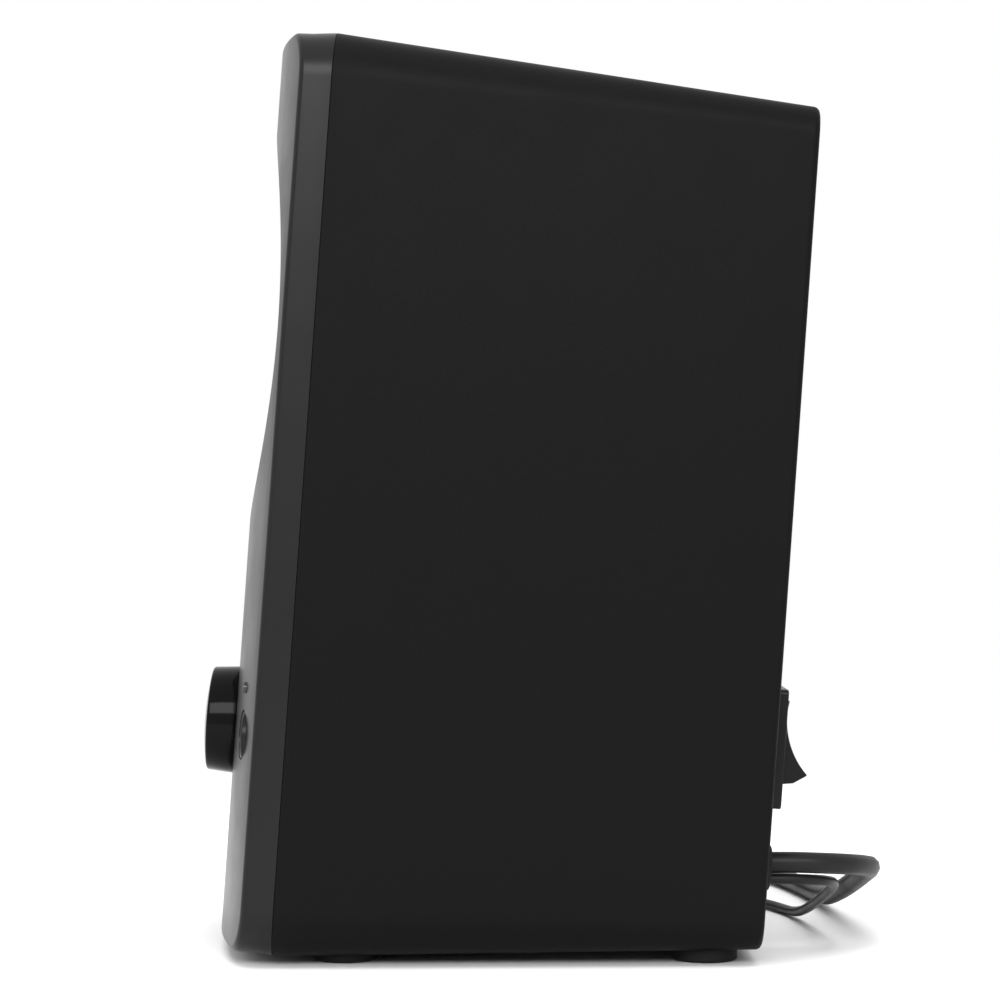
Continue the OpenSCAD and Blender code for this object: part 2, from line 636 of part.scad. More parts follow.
// ---- Wires inside the cabinet, in the seam's frame ----
module mains_inner_wire() color([0.1, 0.1, 0.1]) facing() bar([[outlet_x, outlet_y, back_z + wall + 1.5],
    [outlet_x, outlet_y + 0.6, -81], [outlet_x, outlet_y + 3, -76.6], [switch_x, 29.5, -73], [switch_x, 34, -71],
    [switch_x, switch_y - 5.7, -70.2]], 1.5, up = [1, 0, 0]);
module transformer_wires() color([0.6, 0.1, 0.1]) facing() bar([[-4, 30, -45.6], [-4, 31, -42], [-3, 35, -36.5],
    [-1, 41, -31], [1, 47, -26.5], [2, 51.6, -21.5], [2, board_low + board_h - 13, -17],
    [2, board_low + board_h - 13, board_rear - 7.1]], 1, up = [1, 0, 0]);
module speaker_wires() color([0.7, 0.7, 0.7]) facing() bar([[18, board_low + board_h - 13, board_rear - 7.1],
    [18, 53.6, -16.5], [17, 56.6, -20], [14.6, 61, -22], [11.5, 66, -21.8], [8, 70.6, -19.5], [5.4, 74.6, -16.6],
    [4, driver_y - 39.5, spider_z - basket_t - 2.6]], 0.8, up = [1, 0.2, 0]);

// ---- Leads that lie behind the cabinet, on the floor ----
// Each route starts 1 mm inside the outlet's flange.
mains_route = [[25, 48.6, 17.3], [25, 54, 17.3], [24, 60, 17], [20, 65.5, 16.3], [13, 69.3, 15.2], [5, 70.5, 13.8],
    [-4, 70.5, 11.8], [-13, 70, 9.4], [-22, 69, 6.8], [-31, 68, 4.5], [-40, 67, 2.8], [-49, 66, 2.1],
    [-58, 64.8, 2], [-67, 63.2, 2], [-76, 61.2, 2], [-85, 58.8, 2], [-93, 56.7, 2], [-101, 55, 2]];
mains_tail = [[-136, 27, 10], [-136, 21, 9.9], [-135.6, 15, 9.4], [-134.4, 9, 8.7], [-132.4, 4, 8], [-130, -1, 7.3],
    [-128.4, -6, 6.9], [-128, -10, 6.85]];
mains_coil_at = [-110, 28, 0];
mains_coil_r = 22;
mains_turns = 3;
signal_route = [[25, 48.6, 14.2], [25, 52.5, 14.2], [24.2, 56.5, 14], [21.6, 60, 13.5], [17.6, 62, 12.7],
    [13, 62.8, 11.6], [8, 63, 10.4], [3, 62.8, 9], [-2, 62.4, 7.5], [-7, 61.9, 6], [-12, 61.3, 4.5], [-17, 60.6, 3.1],
    [-22, 59.8, 1.9], [-27, 58.8, 1.2], [-32, 57.5, 1], [-37, 55.8, 1], [-42, 53.6, 1], [-46, 51.4, 1],
    [-50, 49, 1], [-54, 46.9, 1], [-58, 45.2, 1]];
signal_tail = [[-78, 29, 7], [-78, 25, 5.8], [-77.9, 21, 3.9], [-77.7, 17, 2.2], [-77.3, 13, 1.2], [-76.8, 9, 1],
    [-76.2, 5, 1.5], [-75.5, 1, 2.9], [-75, -3, 4.1], [-75, -7, 4.5]];
signal_coil_at = [-64, 30, 0];
signal_coil_r = 11;
signal_turns = 4;
tie_w = 4;
mains_plug_at = [-128, -2, 6.85];
signal_plug_at = [-75, -3, 4.5];
plug_pin_gap = 18.6;

// A coil of leads: a ring whose section holds turns by turns.
module coil_solid(r, width) rotate_extrude($fn = 96) translate([r - width / 2, 0]) square([width, width]);
module coil_tie(r, width) difference() {
    block([tie_w, width + 0.8, width + 0.8], 0, -r, 0);
    block([tie_w + 2, width - 0.6, width - 0.8], 0, -r, 0.7);
}
module mains_lead() color([0.06, 0.06, 0.06]) {
    bar(mains_route, mains_d / 2);
    bar(mains_tail, mains_d / 2);
}
module mains_lead_coil() color([0.06, 0.06, 0.06]) translate(mains_coil_at)
    coil_solid(mains_coil_r, mains_turns * mains_d);
module mains_lead_tie() color([0.15, 0.15, 0.15]) translate(mains_coil_at)
    coil_tie(mains_coil_r, mains_turns * mains_d);
module signal_lead() color([0.06, 0.06, 0.06]) {
    bar(signal_route, signal_d / 2);
    bar(signal_tail, signal_d / 2);
}
module signal_lead_coil() color([0.06, 0.06, 0.06]) translate(signal_coil_at)
    coil_solid(signal_coil_r, signal_turns * signal_d);
module signal_lead_tie() color([0.15, 0.15, 0.15]) translate(signal_coil_at)
    coil_tie(signal_coil_r, signal_turns * signal_d);

// Both plugs point along -Y, from the end of their lead.
module pointing(at) translate(at) rotate([90, 0, 0]) children();
plug_h = 13.7;
plug_body = 28;
plug_face = 41.3;
pin_len = 19;
module mains_plug() color([0.07, 0.07, 0.07]) pointing(mains_plug_at) {
    translate([0, 0, 0]) cylinder(h = 14, r1 = 3.2, r2 = 4.6);
    hull() {
        translate([0, 0, 12]) linear_extrude(0.1) round_rect(6.5, -5, 5, 4.5, $fn = 32);
        for (z = [plug_face - plug_body + 6, plug_face - 0.1])
            translate([0, 0, z]) linear_extrude(0.1) round_rect(17.6, -plug_h / 2, plug_h / 2, 5, $fn = 32);
    }
}
module mains_plug_pins() color("silver") pointing(mains_plug_at) for (side = [-1, 1])
    translate([side * plug_pin_gap / 2, 0, 0]) disc(2, plug_face, plug_face + pin_len);
jack_pin_r = 1.75;
module signal_plug() color([0.07, 0.07, 0.07]) pointing(signal_plug_at) rotate_extrude()
    polygon([[0, 0], [1.7, 0], [2.6, 9], [4.2, 10], [4.5, 11], [4.5, 26], [4, 27], [3, 27], [3, 28], [0, 28]]);
module signal_plug_contacts() color("gold") pointing(signal_plug_at) rotate_extrude()
    polygon([[0, 28], [jack_pin_r, 28], [jack_pin_r, 39], [1.3, 39.4], [1.3, 40], [1.6, 40.6], [0.5, 42], [0, 42]]);

rear_shell();
front_baffle();
housing_screws();
rubber_feet();
driver_trim_ring();
driver_gasket();
driver_basket();
driver_surround();
driver_cone();
driver_dust_cap();
driver_spider();
driver_voice_coil();
driver_top_plate();
driver_magnet();
driver_back_plate();
driver_terminals();
driver_screws();
amplifier_board();
board_screws();
electrolytic_capacitors();
amplifier_ic();
heatsink();
board_connectors();
volume_potentiometer();
potentiometer_nut();
potentiometer_shaft();
volume_knob();
knob_pointer();
headphone_jack();
headphone_jack_collar();
power_led();
led_lens();
transformer_core();
transformer_winding();
transformer_bracket();
transformer_screws();
switch_frame();
switch_rocker();
switch_terminals();
cable_grommet();
mains_inner_wire();
transformer_wires();
speaker_wires();
mains_lead();
mains_lead_coil();
mains_lead_tie();
mains_plug();
mains_plug_pins();
signal_lead();
signal_lead_coil();
signal_lead_tie();
signal_plug();
signal_plug_contacts();
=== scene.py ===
"""The looks of a powered desktop loudspeaker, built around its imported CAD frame. Metres, +Z up, front towards -Y."""

import json
import math

import bmesh
import bpy
from mathutils import Matrix, Vector


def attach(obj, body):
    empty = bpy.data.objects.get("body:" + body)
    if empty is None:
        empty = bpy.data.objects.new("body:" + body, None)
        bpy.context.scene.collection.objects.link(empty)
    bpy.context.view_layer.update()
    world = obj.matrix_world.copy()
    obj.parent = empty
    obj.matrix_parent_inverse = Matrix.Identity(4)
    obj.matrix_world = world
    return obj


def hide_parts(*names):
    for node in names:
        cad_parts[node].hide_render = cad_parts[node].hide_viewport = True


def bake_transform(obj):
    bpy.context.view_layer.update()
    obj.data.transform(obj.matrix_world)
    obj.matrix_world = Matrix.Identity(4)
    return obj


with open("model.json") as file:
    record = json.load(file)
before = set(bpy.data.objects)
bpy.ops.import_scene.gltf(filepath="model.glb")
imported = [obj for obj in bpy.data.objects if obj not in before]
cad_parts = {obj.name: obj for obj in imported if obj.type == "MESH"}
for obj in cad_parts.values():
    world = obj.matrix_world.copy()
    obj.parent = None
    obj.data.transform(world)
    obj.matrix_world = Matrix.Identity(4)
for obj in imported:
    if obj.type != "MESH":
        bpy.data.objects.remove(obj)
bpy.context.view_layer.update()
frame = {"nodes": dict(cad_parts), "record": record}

MM = 0.001
RECORD = frame["record"]
JOINTS = {joint["name"]: joint for joint in RECORD["behaviour"]["joints"]}

# ---- The cabinet's sizes, in millimetres, as the CAD has them ----
LEAN = math.radians(4)
BODY_W, BODY_H, SEAM_LOW, SHELL_DEPTH = 86.0, 169.2, 1.3, 88.9
TAPER_W, TAPER_H = 3.0, 7.35
BACK_Z = -SHELL_DEPTH
SEAM_R, BACK_R, EDGE_R, WALL = 9.0, 5.5, 1.2, 2.5
RIM, DRAFT, CROWN = 5.8, 0.5, 6.3
POST_X, POST_INSET, WELL_R, HEAD_WELL_R, SCREW_HOLE_R = 34.0, 13.2, 4.2, 3.1, 1.7
POSTS = [(side * POST_X, y) for side in (-1, 1) for y in (SEAM_LOW + POST_INSET, SEAM_LOW + BODY_H - POST_INSET)]
DRIVER_Y, RECESS_R, LEDGE_Z, LEDGE_HOLE_R = 117.0, 38.75, 1.5, 33.5
GASKET_T, FLANGE_T, LIP_T = 0.5, 1.5, 0.5
FLANGE_FACE = LEDGE_Z + GASKET_T + FLANGE_T
CONE_R, COIL_R, CONE_DEPTH = 26.6, 9.5, 11.0
NECK_Z = FLANGE_FACE - CONE_DEPTH
LIP_R, ROLL_R = 33.8, 2.6
ROLL_MID = CONE_R + ROLL_R - 0.3
KNOB_Y, KNOB_R, KNOB_DRAFT, KNOB_RIM, KNOB_DOME, KNOB_SINK, KNOB_GAP = 41.3, 10.4, 0.4, 5.3, 1.0, 0.3, 0.4
KNOB_JOINT_Z = 12.0
JACK_X, JACK_Y, JACK_HOLE_R, COLLAR_R, COLLAR_BORE_R = 31.0, 41.0, 3.1, 4.4, 3.02
LAMP_X, LAMP_Y, LAMP_HOLE_R = 31.5, 49.7, 1.1
SWITCH_X, SWITCH_Y, SWITCH_W, SWITCH_H, SWITCH_FLANGE = 25.5, 45.3, 15.0, 22.0, 2.1
OUTLET_X, OUTLET_Y, OUTLET_W, OUTLET_H, OUTLET_OUT = 25.0, 22.65, 7.0, 8.7, 1.7
FRONT_HALF = BODY_W / 2 - DRAFT
CROWN_R = (FRONT_HALF**2 + CROWN**2) / (2 * CROWN)

# facing: x across, y up the leaning front, z forward, with z = 0 at the seam; in millimetres.
knob_axis = JOINTS["volume_turn"]["pos_m"]
SEAM_Y = knob_axis[1] / MM + KNOB_JOINT_Z * math.cos(LEAN) - KNOB_Y * math.sin(LEAN)
FACING = (
    Matrix.Scale(MM, 4)
    @ Matrix.Translation((0, SEAM_Y, 0))
    @ Matrix.Rotation(-LEAN, 4, "X")
    @ Matrix.Rotation(math.pi / 2, 4, "X")
)
UPRIGHT = Matrix.Scale(MM, 4)


def at(x, y, z=0.0, base=FACING):
    return base @ Matrix.Translation((x, y, z))


def face_z(x):
    return RIM + CROWN - CROWN_R + math.sqrt(CROWN_R**2 - x * x)


# ---- Camera: level, looking along -X at the cabinet's side ----
camera = bpy.data.objects.new("camera", bpy.data.cameras.new("camera"))
bpy.context.collection.objects.link(camera)
camera.location = (0.593, -0.0006, 0.0847)
camera.rotation_euler = (math.pi / 2, 0, math.pi / 2)
camera.data.lens = 109.9
camera.data.sensor_width = 36
camera.data.clip_start = 0.01
bpy.context.scene.camera = camera


# ---- Mesh helpers ----
def finish_mesh(mesh, sharp=32, merge=1e-7):
    """Joins doubled points, turns faces outward, and smooths all edges but the sharp ones."""
    bm = bmesh.new()
    bm.from_mesh(mesh)
    bmesh.ops.remove_doubles(bm, verts=bm.verts, dist=merge)
    bmesh.ops.dissolve_degenerate(bm, edges=bm.edges, dist=merge)
    bmesh.ops.recalc_face_normals(bm, faces=bm.faces)
    for f in bm.faces:
        f.smooth = True
    for e in bm.edges:
        e.smooth = len(e.link_faces) == 2 and e.calc_face_angle(0) < math.radians(sharp)
    bm.to_mesh(mesh)
    bm.free()


def make(name, points, faces, place=FACING, sharp=32):
    """A new piece from points in millimetres, which place turns into metres in the frame."""
    mesh = bpy.data.meshes.new(name)
    mesh.from_pydata([place @ Vector(p) for p in points], [], faces)
    finish_mesh(mesh, sharp)
    piece = bpy.data.objects.new(name, mesh)
    bpy.context.collection.objects.link(piece)
    return piece


def loft(rings, closed=False):
    """Points and faces of a tube through rings that all have as many points; its ends are capped."""
    n = len(rings[0])
    points = [p for ring in rings for p in ring]
    pairs = [(i, i + 1) for i in range(len(rings) - 1)] + ([(len(rings) - 1, 0)] if closed else [])
    faces = [(a * n + k, a * n + (k + 1) % n, b * n + (k + 1) % n, b * n + k) for a, b in pairs for k in range(n)]
    if not closed:
        faces += [tuple(range(n))[::-1], tuple(range(len(points) - n, len(points)))]
    return points, faces


def revolve(name, profile, place=FACING, steps=128, sharp=32, start=0.0, sweep=360.0):
    """Turns a profile of (radius, z) points round the z axis; a profile that ends on the axis closes itself."""
    whole = sweep >= 360
    count = steps if whole else steps + 1
    rings = []
    for i in range(count):
        a = math.radians(start + sweep * i / steps)
        rings.append([(r * math.cos(a), r * math.sin(a), z) for r, z in profile])
    n = len(profile)
    points = [p for ring in rings for p in ring]
    faces = []
    for i in range(steps):
        j = (i + 1) % count
        faces += [(i * n + k, j * n + k, j * n + k + 1, i * n + k + 1) for k in range(n - 1)]
    return make(name, points, faces, place, sharp)


def arc(cx, cy, r, a0, a1, n):
    """n + 1 points of an arc from angle a0 to a1, in degrees."""
    return [(cx + r * math.cos(math.radians(a0 + (a1 - a0) * i / n)),
             cy + r * math.sin(math.radians(a0 + (a1 - a0) * i / n))) for i in range(n + 1)]


def round_rect(half, low, high, r, n=16):
    """A rectangle with round corners, counterclockwise, with 4 (n + 1) points."""
    corners = [(half - r, high - r, 0), (r - half, high - r, 90),
               (r - half, low + r, 180), (half - r, low + r, 270)]
    return [p for x, y, a in corners for p in arc(x, y, r, a, a + 90, n)]


def apply_modifiers(piece):
    """Writes the piece's modifiers into its mesh."""
    made = bpy.data.meshes.new_from_object(piece.evaluated_get(bpy.context.evaluated_depsgraph_get()))
    piece.modifiers.clear()
    piece.data = made


def cut(piece, *cutters):
    """Takes the cutters' shapes out of the piece and deletes the cutters."""
    for c in cutters:
        m = piece.modifiers.new("cut", "BOOLEAN")
        m.operation, m.solver, m.object = "DIFFERENCE", "EXACT", c
        bpy.context.view_layer.update()
        apply_modifiers(piece)
        bpy.data.objects.remove(c)
    finish_mesh(piece.data)


def bevel(piece, width, segments=3, angle=35):
    """Rounds the edges that are sharper than angle, by a width in millimetres."""
    m = piece.modifiers.new("edges", "BEVEL")
    m.width, m.segments, m.limit_method = width * MM, segments, "ANGLE"
    m.angle_limit = math.radians(angle)
    m.harden_normals = True
    bpy.context.view_layer.update()
    apply_modifiers(piece)


def disc(place, r, low, high, steps=96):
    return revolve("cutter", [(0, low), (r, low), (r, high), (0, high)], place, steps)


def slab(place, outline, low, high, name="cutter"):
    return make(name, *loft([[(x, y, low) for x, y in outline], [(x, y, high) for x, y in outline]]), place)


# ---- Materials ----
def nodes_of(name):
    mat = bpy.data.materials.new(name)
    mat.use_nodes = True
    tree = mat.node_tree
    return mat, tree, tree.nodes["Principled BSDF"]


def noise(tree, scale, detail=2.0, roughness=0.5, stretch=(1, 1, 1)):
    """A noise that stays fixed to the object, as a socket."""
    coord = tree.nodes.new("ShaderNodeTexCoord")
    mapping = tree.nodes.new("ShaderNodeMapping")
    mapping.inputs["Scale"].default_value = stretch
    tree.links.new(coord.outputs["Object"], mapping.inputs["Vector"])
    n = tree.nodes.new("ShaderNodeTexNoise")
    n.inputs["Scale"].default_value = scale
    n.inputs["Detail"].default_value = detail
    n.inputs["Roughness"].default_value = roughness
    tree.links.new(mapping.outputs["Vector"], n.inputs["Vector"])
    return n.outputs["Fac"]


def spread(tree, value, low, high):
    """A 0 to 1 value mapped to run from low to high."""
    m = tree.nodes.new("ShaderNodeMapRange")
    m.inputs["From Min"].default_value, m.inputs["From Max"].default_value = 0.3, 0.7
    m.inputs["To Min"].default_value, m.inputs["To Max"].default_value = low, high
    tree.links.new(value, m.inputs["Value"])
    return m.outputs["Result"]


def surface(name, color, rough, vary=0.05, grain=1500.0, bump=0.2, depth=0.00006, specular=0.5, metal=0.0,
            stretch=(1, 1, 1), tint=0.12, detail=2.0):
    """A material with fine grain in its bump, patches of slightly different gloss, and a slight drift of colour."""
    mat, tree, shader = nodes_of(name)
    shader.inputs["Metallic"].default_value = metal
    shader.inputs["Specular IOR Level"].default_value = specular
    patches = noise(tree, 90, 3)
    tree.links.new(spread(tree, patches, rough - vary, rough + vary), shader.inputs["Roughness"])
    mix = tree.nodes.new("ShaderNodeMix")
    mix.data_type = "RGBA"
    mix.inputs["A"].default_value = (*[c * (1 - tint) for c in color], 1)
    mix.inputs["B"].default_value = (*[c * (1 + tint) for c in color], 1)
    fine = noise(tree, grain, detail, 0.6, stretch)
    tree.links.new(fine, mix.inputs["Factor"])
    tree.links.new(mix.outputs["Result"], shader.inputs["Base Color"])
    b = tree.nodes.new("ShaderNodeBump")
    b.inputs["Strength"].default_value = bump
    b.inputs["Distance"].default_value = depth
    tree.links.new(fine, b.inputs["Height"])
    tree.links.new(b.outputs["Normal"], shader.inputs["Normal"])
    return mat


MATS = {
    "shell": surface("shell_plastic", (0.0055, 0.0055, 0.0057), 0.46, 0.04, 1400, 0.4, 0.00008, 0.05),
    "baffle": surface("baffle_plastic", (0.008, 0.008, 0.0083), 0.3, 0.03, 2600, 0.12, 0.00003, 0.2),
    "knob": surface("knob_plastic", (0.002, 0.002, 0.0021), 0.1, 0.02, 500, 0.03, 0.00003, 0.11),
    "rubber": surface("foot_rubber", (0.01, 0.01, 0.01), 0.75, 0.08, 1800, 0.3, 0.00006, 0.15),
    "surround": surface("surround_rubber", (0.012, 0.012, 0.012), 0.42, 0.06, 1500, 0.15, 0.00004, 0.4),
    "cone": surface("cone_paper", (0.02, 0.02, 0.021), 0.62, 0.1, 900, 0.6, 0.0001, 0.3, detail=6.0),
    "spider": surface("spider_cloth", (0.5, 0.33, 0.11), 0.8, 0.05, 2500, 0.6, 0.00012, 0.2),
    "steel": surface("plated_steel", (0.55, 0.55, 0.57), 0.32, 0.08, 900, 0.1, 0.00003, 0.5, 1.0),
    "black_steel": surface("black_steel", (0.02, 0.02, 0.022), 0.4, 0.08, 1200, 0.2, 0.00004, 0.5),
    "ferrite": surface("ferrite", (0.05, 0.05, 0.055), 0.6, 0.1, 700, 0.4, 0.0001, 0.4),
    "copper": surface("copper_wire", (0.7, 0.28, 0.12), 0.3, 0.05, 900, 0.3, 0.0001, 0.5, 1.0, (0.05, 0.05, 4)),
    "brass": surface("nickel_brass", (0.72, 0.62, 0.42), 0.25, 0.06, 900, 0.08, 0.00003, 0.5, 1.0),
    "aluminium": surface("aluminium", (0.7, 0.7, 0.72), 0.38, 0.06, 900, 0.2, 0.00004, 0.5, 1.0, (0.1, 1, 4)),
    "board": surface("solder_mask", (0.02, 0.14, 0.05), 0.35, 0.05, 500, 0.15, 0.00004, 0.5),
    "part": surface("part_plastic", (0.018, 0.018, 0.018), 0.45, 0.06, 1600, 0.2, 0.00004, 0.4),
    "can": surface("can_sleeve", (0.015, 0.02, 0.07), 0.3, 0.05, 300, 0.05, 0.00004, 0.5),
    "nylon": surface("connector_nylon", (0.75, 0.73, 0.66), 0.45, 0.05, 900, 0.1, 0.00004, 0.4),
    "tape": surface("winding_tape", (0.72, 0.5, 0.08), 0.4, 0.08, 250, 0.4, 0.0001, 0.4, stretch=(1, 1, 6)),
    "switch": surface("switch_plastic", (0.007, 0.007, 0.0073), 0.3, 0.04, 2200, 0.15, 0.00003, 0.15),
    "jacket": surface("lead_jacket", (0.01, 0.01, 0.0103), 0.42, 0.08, 900, 0.2, 0.00005, 0.2),
    "red_wire": surface("wire_jacket", (0.35, 0.03, 0.03), 0.4, 0.05, 900, 0.1, 0.00004, 0.4),
    "paint": surface("pointer_paint", (0.75, 0.75, 0.74), 0.5, 0.05, 900, 0.1, 0.00003, 0.4),
}


def glass(name, color):
    mat, tree, shader = nodes_of(name)
    shader.inputs["Base Color"].default_value = (*color, 1)
    shader.inputs["Transmission Weight"].default_value = 0.6
    patches = noise(tree, 300, 2)
    tree.links.new(spread(tree, patches, 0.08, 0.16), shader.inputs["Roughness"])
    return mat


MATS["lens"] = glass("lamp_lens", (0.04, 0.045, 0.06))


def dress(piece, material):
    piece.data.materials.clear()
    piece.data.materials.append(MATS[material])


def settle(piece, material, body, slot, *nodes):
    """Gives a new piece its material and its body, and hides the CAD nodes that it stands for; slot is not used."""
    dress(piece, material)
    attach(piece, body)
    if nodes:
        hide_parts(*nodes)
    return piece


# ---- Leads: their routes are the CAD's, in millimetres ----
MAINS_D, SIGNAL_D = 4.0, 2.0
MAINS_ROUTE = [(25, 48.6, 17.3), (25, 54, 17.3), (24, 60, 17), (20, 65.5, 16.3), (13, 69.3, 15.2), (5, 70.5, 13.8),
               (-4, 70.5, 11.8), (-13, 70, 9.4), (-22, 69, 6.8), (-31, 68, 4.5), (-40, 67, 2.8), (-49, 66, 2.1),
               (-58, 64.8, 2), (-67, 63.2, 2), (-76, 61.2, 2), (-85, 58.8, 2), (-93, 56.7, 2), (-101, 55, 2)]
MAINS_TAIL = [(-136, 21, 9.9), (-135.6, 15, 9.4), (-134.4, 9, 8.7), (-132.4, 4, 8), (-130, -1, 7.3),
              (-128.4, -6, 6.9), (-128, -10, 6.85)]
MAINS_COIL_AT, MAINS_COIL_R = (-110.0, 28.0), 22.0
# The order in which the turns fill the coil's section, as steps across and up.
MAINS_LAYERS = [(1, 0), (0, 0), (-1, 0), (-1, 1), (-1, 2), (0, 2), (0, 1), (1, 1), (1, 2)]
SIGNAL_ROUTE = [(25, 48.6, 14.2), (25, 52.5, 14.2), (24.2, 56.5, 14), (21.6, 60, 13.5), (17.6, 62, 12.7),
                (13, 62.8, 11.6), (8, 63, 10.4), (3, 62.8, 9), (-2, 62.4, 7.5), (-7, 61.9, 6), (-12, 61.3, 4.5),
                (-17, 60.6, 3.1), (-22, 59.8, 1.9), (-27, 58.8, 1.2), (-32, 57.5, 1), (-37, 55.8, 1), (-42, 53.6, 1),
                (-46, 51.4, 1), (-50, 49, 1), (-54, 46.9, 1), (-58, 45.2, 1)]
SIGNAL_TAIL = [(-78, 25, 5.8), (-77.9, 21, 3.9), (-77.7, 17, 2.2), (-77.3, 13, 1.2), (-76.8, 9, 1), (-76.2, 5, 1.5),
               (-75.5, 1, 2.9), (-75, -3, 4.1), (-75, -7, 4.5)]
SIGNAL_COIL_AT, SIGNAL_COIL_R = (-64.0, 30.0), 11.0
SIGNAL_LAYERS = [(across, row) for row in range(4)
                 for across in ([1.5, 0.5, -0.5, -1.5] if row % 2 == 0 else [-1.5, -0.5, 0.5, 1.5])]
# The ties squeeze the coils a little at their near (-Y) side.
TIE_ANGLE, TIE_SQUEEZE, TIE_REACH = 270, 0.07, 16
TURN_STEPS, SHIFT_FROM = 28, 0.86


def turns(center, mean_r, d, layers):
    """Points of a wound coil. It starts at its far (+Y) side, where each turn shifts to the next place."""
    points = []
    start, end = 90, 90 + 360 * (len(layers) - 1) + 90
    top_row = max(row for _, row in layers)
    middle = d / 2 + top_row * d / 2
    for i in range(int((end - start) / 360 * TURN_STEPS) + 1):
        a = start + 360 * i / TURN_STEPS
        turn, part = divmod((a - start) / 360, 1)
        here, there = layers[int(turn)], layers[min(int(turn) + 1, len(layers) - 1)]
        shift = max(0.0, (part - SHIFT_FROM) / (1 - SHIFT_FROM))
        shift = shift * shift * (3 - 2 * shift)
        across = here[0] + (there[0] - here[0]) * shift
        up = here[1] + (there[1] - here[1]) * shift
        from_tie = (a - TIE_ANGLE + 180) % 360 - 180
        squeeze = 1 - TIE_SQUEEZE * math.exp(-((from_tie / TIE_REACH) ** 2))
        r = mean_r + across * d * squeeze
        z = middle + (d / 2 + up * d - middle) * squeeze
        points.append((center[0] + r * math.cos(math.radians(a)), center[1] + r * math.sin(math.radians(a)), z))
    return points


def cord_curve(name, points, d):
    """A round cord along points, as one smooth curve."""
    data = bpy.data.curves.new(name, "CURVE")
    data.dimensions = "3D"
    data.bevel_depth = d / 2 * MM
    data.bevel_resolution = 3
    data.resolution_u = 4
    data.use_fill_caps = True
    spline = data.splines.new("BEZIER")
    spline.bezier_points.add(len(points) - 1)
    places = [Vector(p) * MM for p in points]
    for i, b in enumerate(spline.bezier_points):
        before, after = places[max(i - 1, 0)], places[min(i + 1, len(places) - 1)]
        along = (after - before).normalized()
        b.co = places[i]
        b.handle_left = places[i] - along * (places[i] - before).length / 3
        b.handle_right = places[i] + along * (after - places[i]).length / 3
    piece = bpy.data.objects.new(name, data)
    bpy.context.collection.objects.link(piece)
    return piece


mains_points = MAINS_ROUTE + turns(MAINS_COIL_AT, MAINS_COIL_R, MAINS_D, MAINS_LAYERS) + MAINS_TAIL
signal_points = SIGNAL_ROUTE + turns(SIGNAL_COIL_AT, SIGNAL_COIL_R, SIGNAL_D, SIGNAL_LAYERS) + SIGNAL_TAIL
mains_lead = settle(cord_curve("mains_lead_cord", mains_points, MAINS_D), "jacket", "cabinet", "lead_jacket",
                    "mains_lead", "mains_lead_coil")
signal_lead = settle(cord_curve("signal_lead_cord", signal_points, SIGNAL_D), "jacket", "cabinet", "lead_jacket",
                     "signal_lead", "signal_lead_coil")


def hook_tie(name, center, mean_r, width, node):
    """A hook and loop strap round the coil's section, with its tail lapped along the top."""
    half, thick, wide, ease = width / 2, 0.5, 4.0, 0.35
    x, y = center[0], center[1] - mean_r
    top = width + thick
    loop_out = round_rect(half + ease, 0.02, top + 0.05, 1.4, 8)
    loop_in = round_rect(half + ease - thick, thick, top + 0.05 - thick, 1.0, 8)
    n = len(loop_out)
    points, faces = [], []
    for dx in (-wide / 2, wide / 2):
        points += [(x + dx, y + a, b) for a, b in loop_out] + [(x + dx, y + a, b) for a, b in loop_in]
    for k in range(n):
        m = (k + 1) % n
        faces += [(k, m, 2 * n + m, 2 * n + k), (n + m, n + k, 3 * n + k, 3 * n + m),
                  (m, k, n + k, n + m), (2 * n + k, 2 * n + m, 3 * n + m, 3 * n + k)]
    tail = len(points)
    for dx in (-wide / 2 + 0.1, wide / 2 - 0.1):
        points += [(x + dx, y - half + 1.2, top), (x + dx, y + half - 2.4, top),
                   (x + dx, y + half - 2.4, top + 0.45), (x + dx, y - half + 1.2, top + 0.45)]
    faces += [(tail, tail + 1, tail + 2, tail + 3), (tail + 4, tail + 5, tail + 6, tail + 7)]
    faces += [(tail + k, tail + (k + 1) % 4, tail + 4 + (k + 1) % 4, tail + 4 + k) for k in range(4)]
    return settle(make(name, points, faces, UPRIGHT), "rubber", "cabinet", "lead_jacket", node)


mains_tie = hook_tie("mains_tie_strap", MAINS_COIL_AT, MAINS_COIL_R, 12.0, "mains_lead_tie")
signal_tie = hook_tie("signal_tie_strap", SIGNAL_COIL_AT, SIGNAL_COIL_R, 8.0, "signal_lead_tie")


# ---- Plugs: z runs from the end of the lead to the pins ----
def pointing(x, y, z):
    return UPRIGHT @ Matrix.Translation((x, y, z)) @ Matrix.Rotation(math.pi / 2, 4, "X")


def plug_outline(half, high, r, z, count=72):
    """A ring of the plug's body, with evenly turned points so that all rings match."""
    ring = []
    for i in range(count):
        a = 2 * math.pi * i / count
        c, s = math.cos(a), math.sin(a)
        power = 2 / (2.2 + 3.0 * min(1.0, (half - r) / half))
        ring.append((half * math.copysign(abs(c) ** power, c), high / 2 * math.copysign(abs(s) ** power, s), z))
    return ring


def ribbed(count, first, pitch, r, growth, outline):
    """An outline of (out, up) steps repeated along a sleeve, whose radius grows by growth at each repeat."""
    return [(r + i * growth + out, first + i * pitch + up) for i in range(count) for out, up in outline]


at_mains_plug, at_signal_plug = pointing(-128, -2, 6.85), pointing(-75, -3, 4.5)
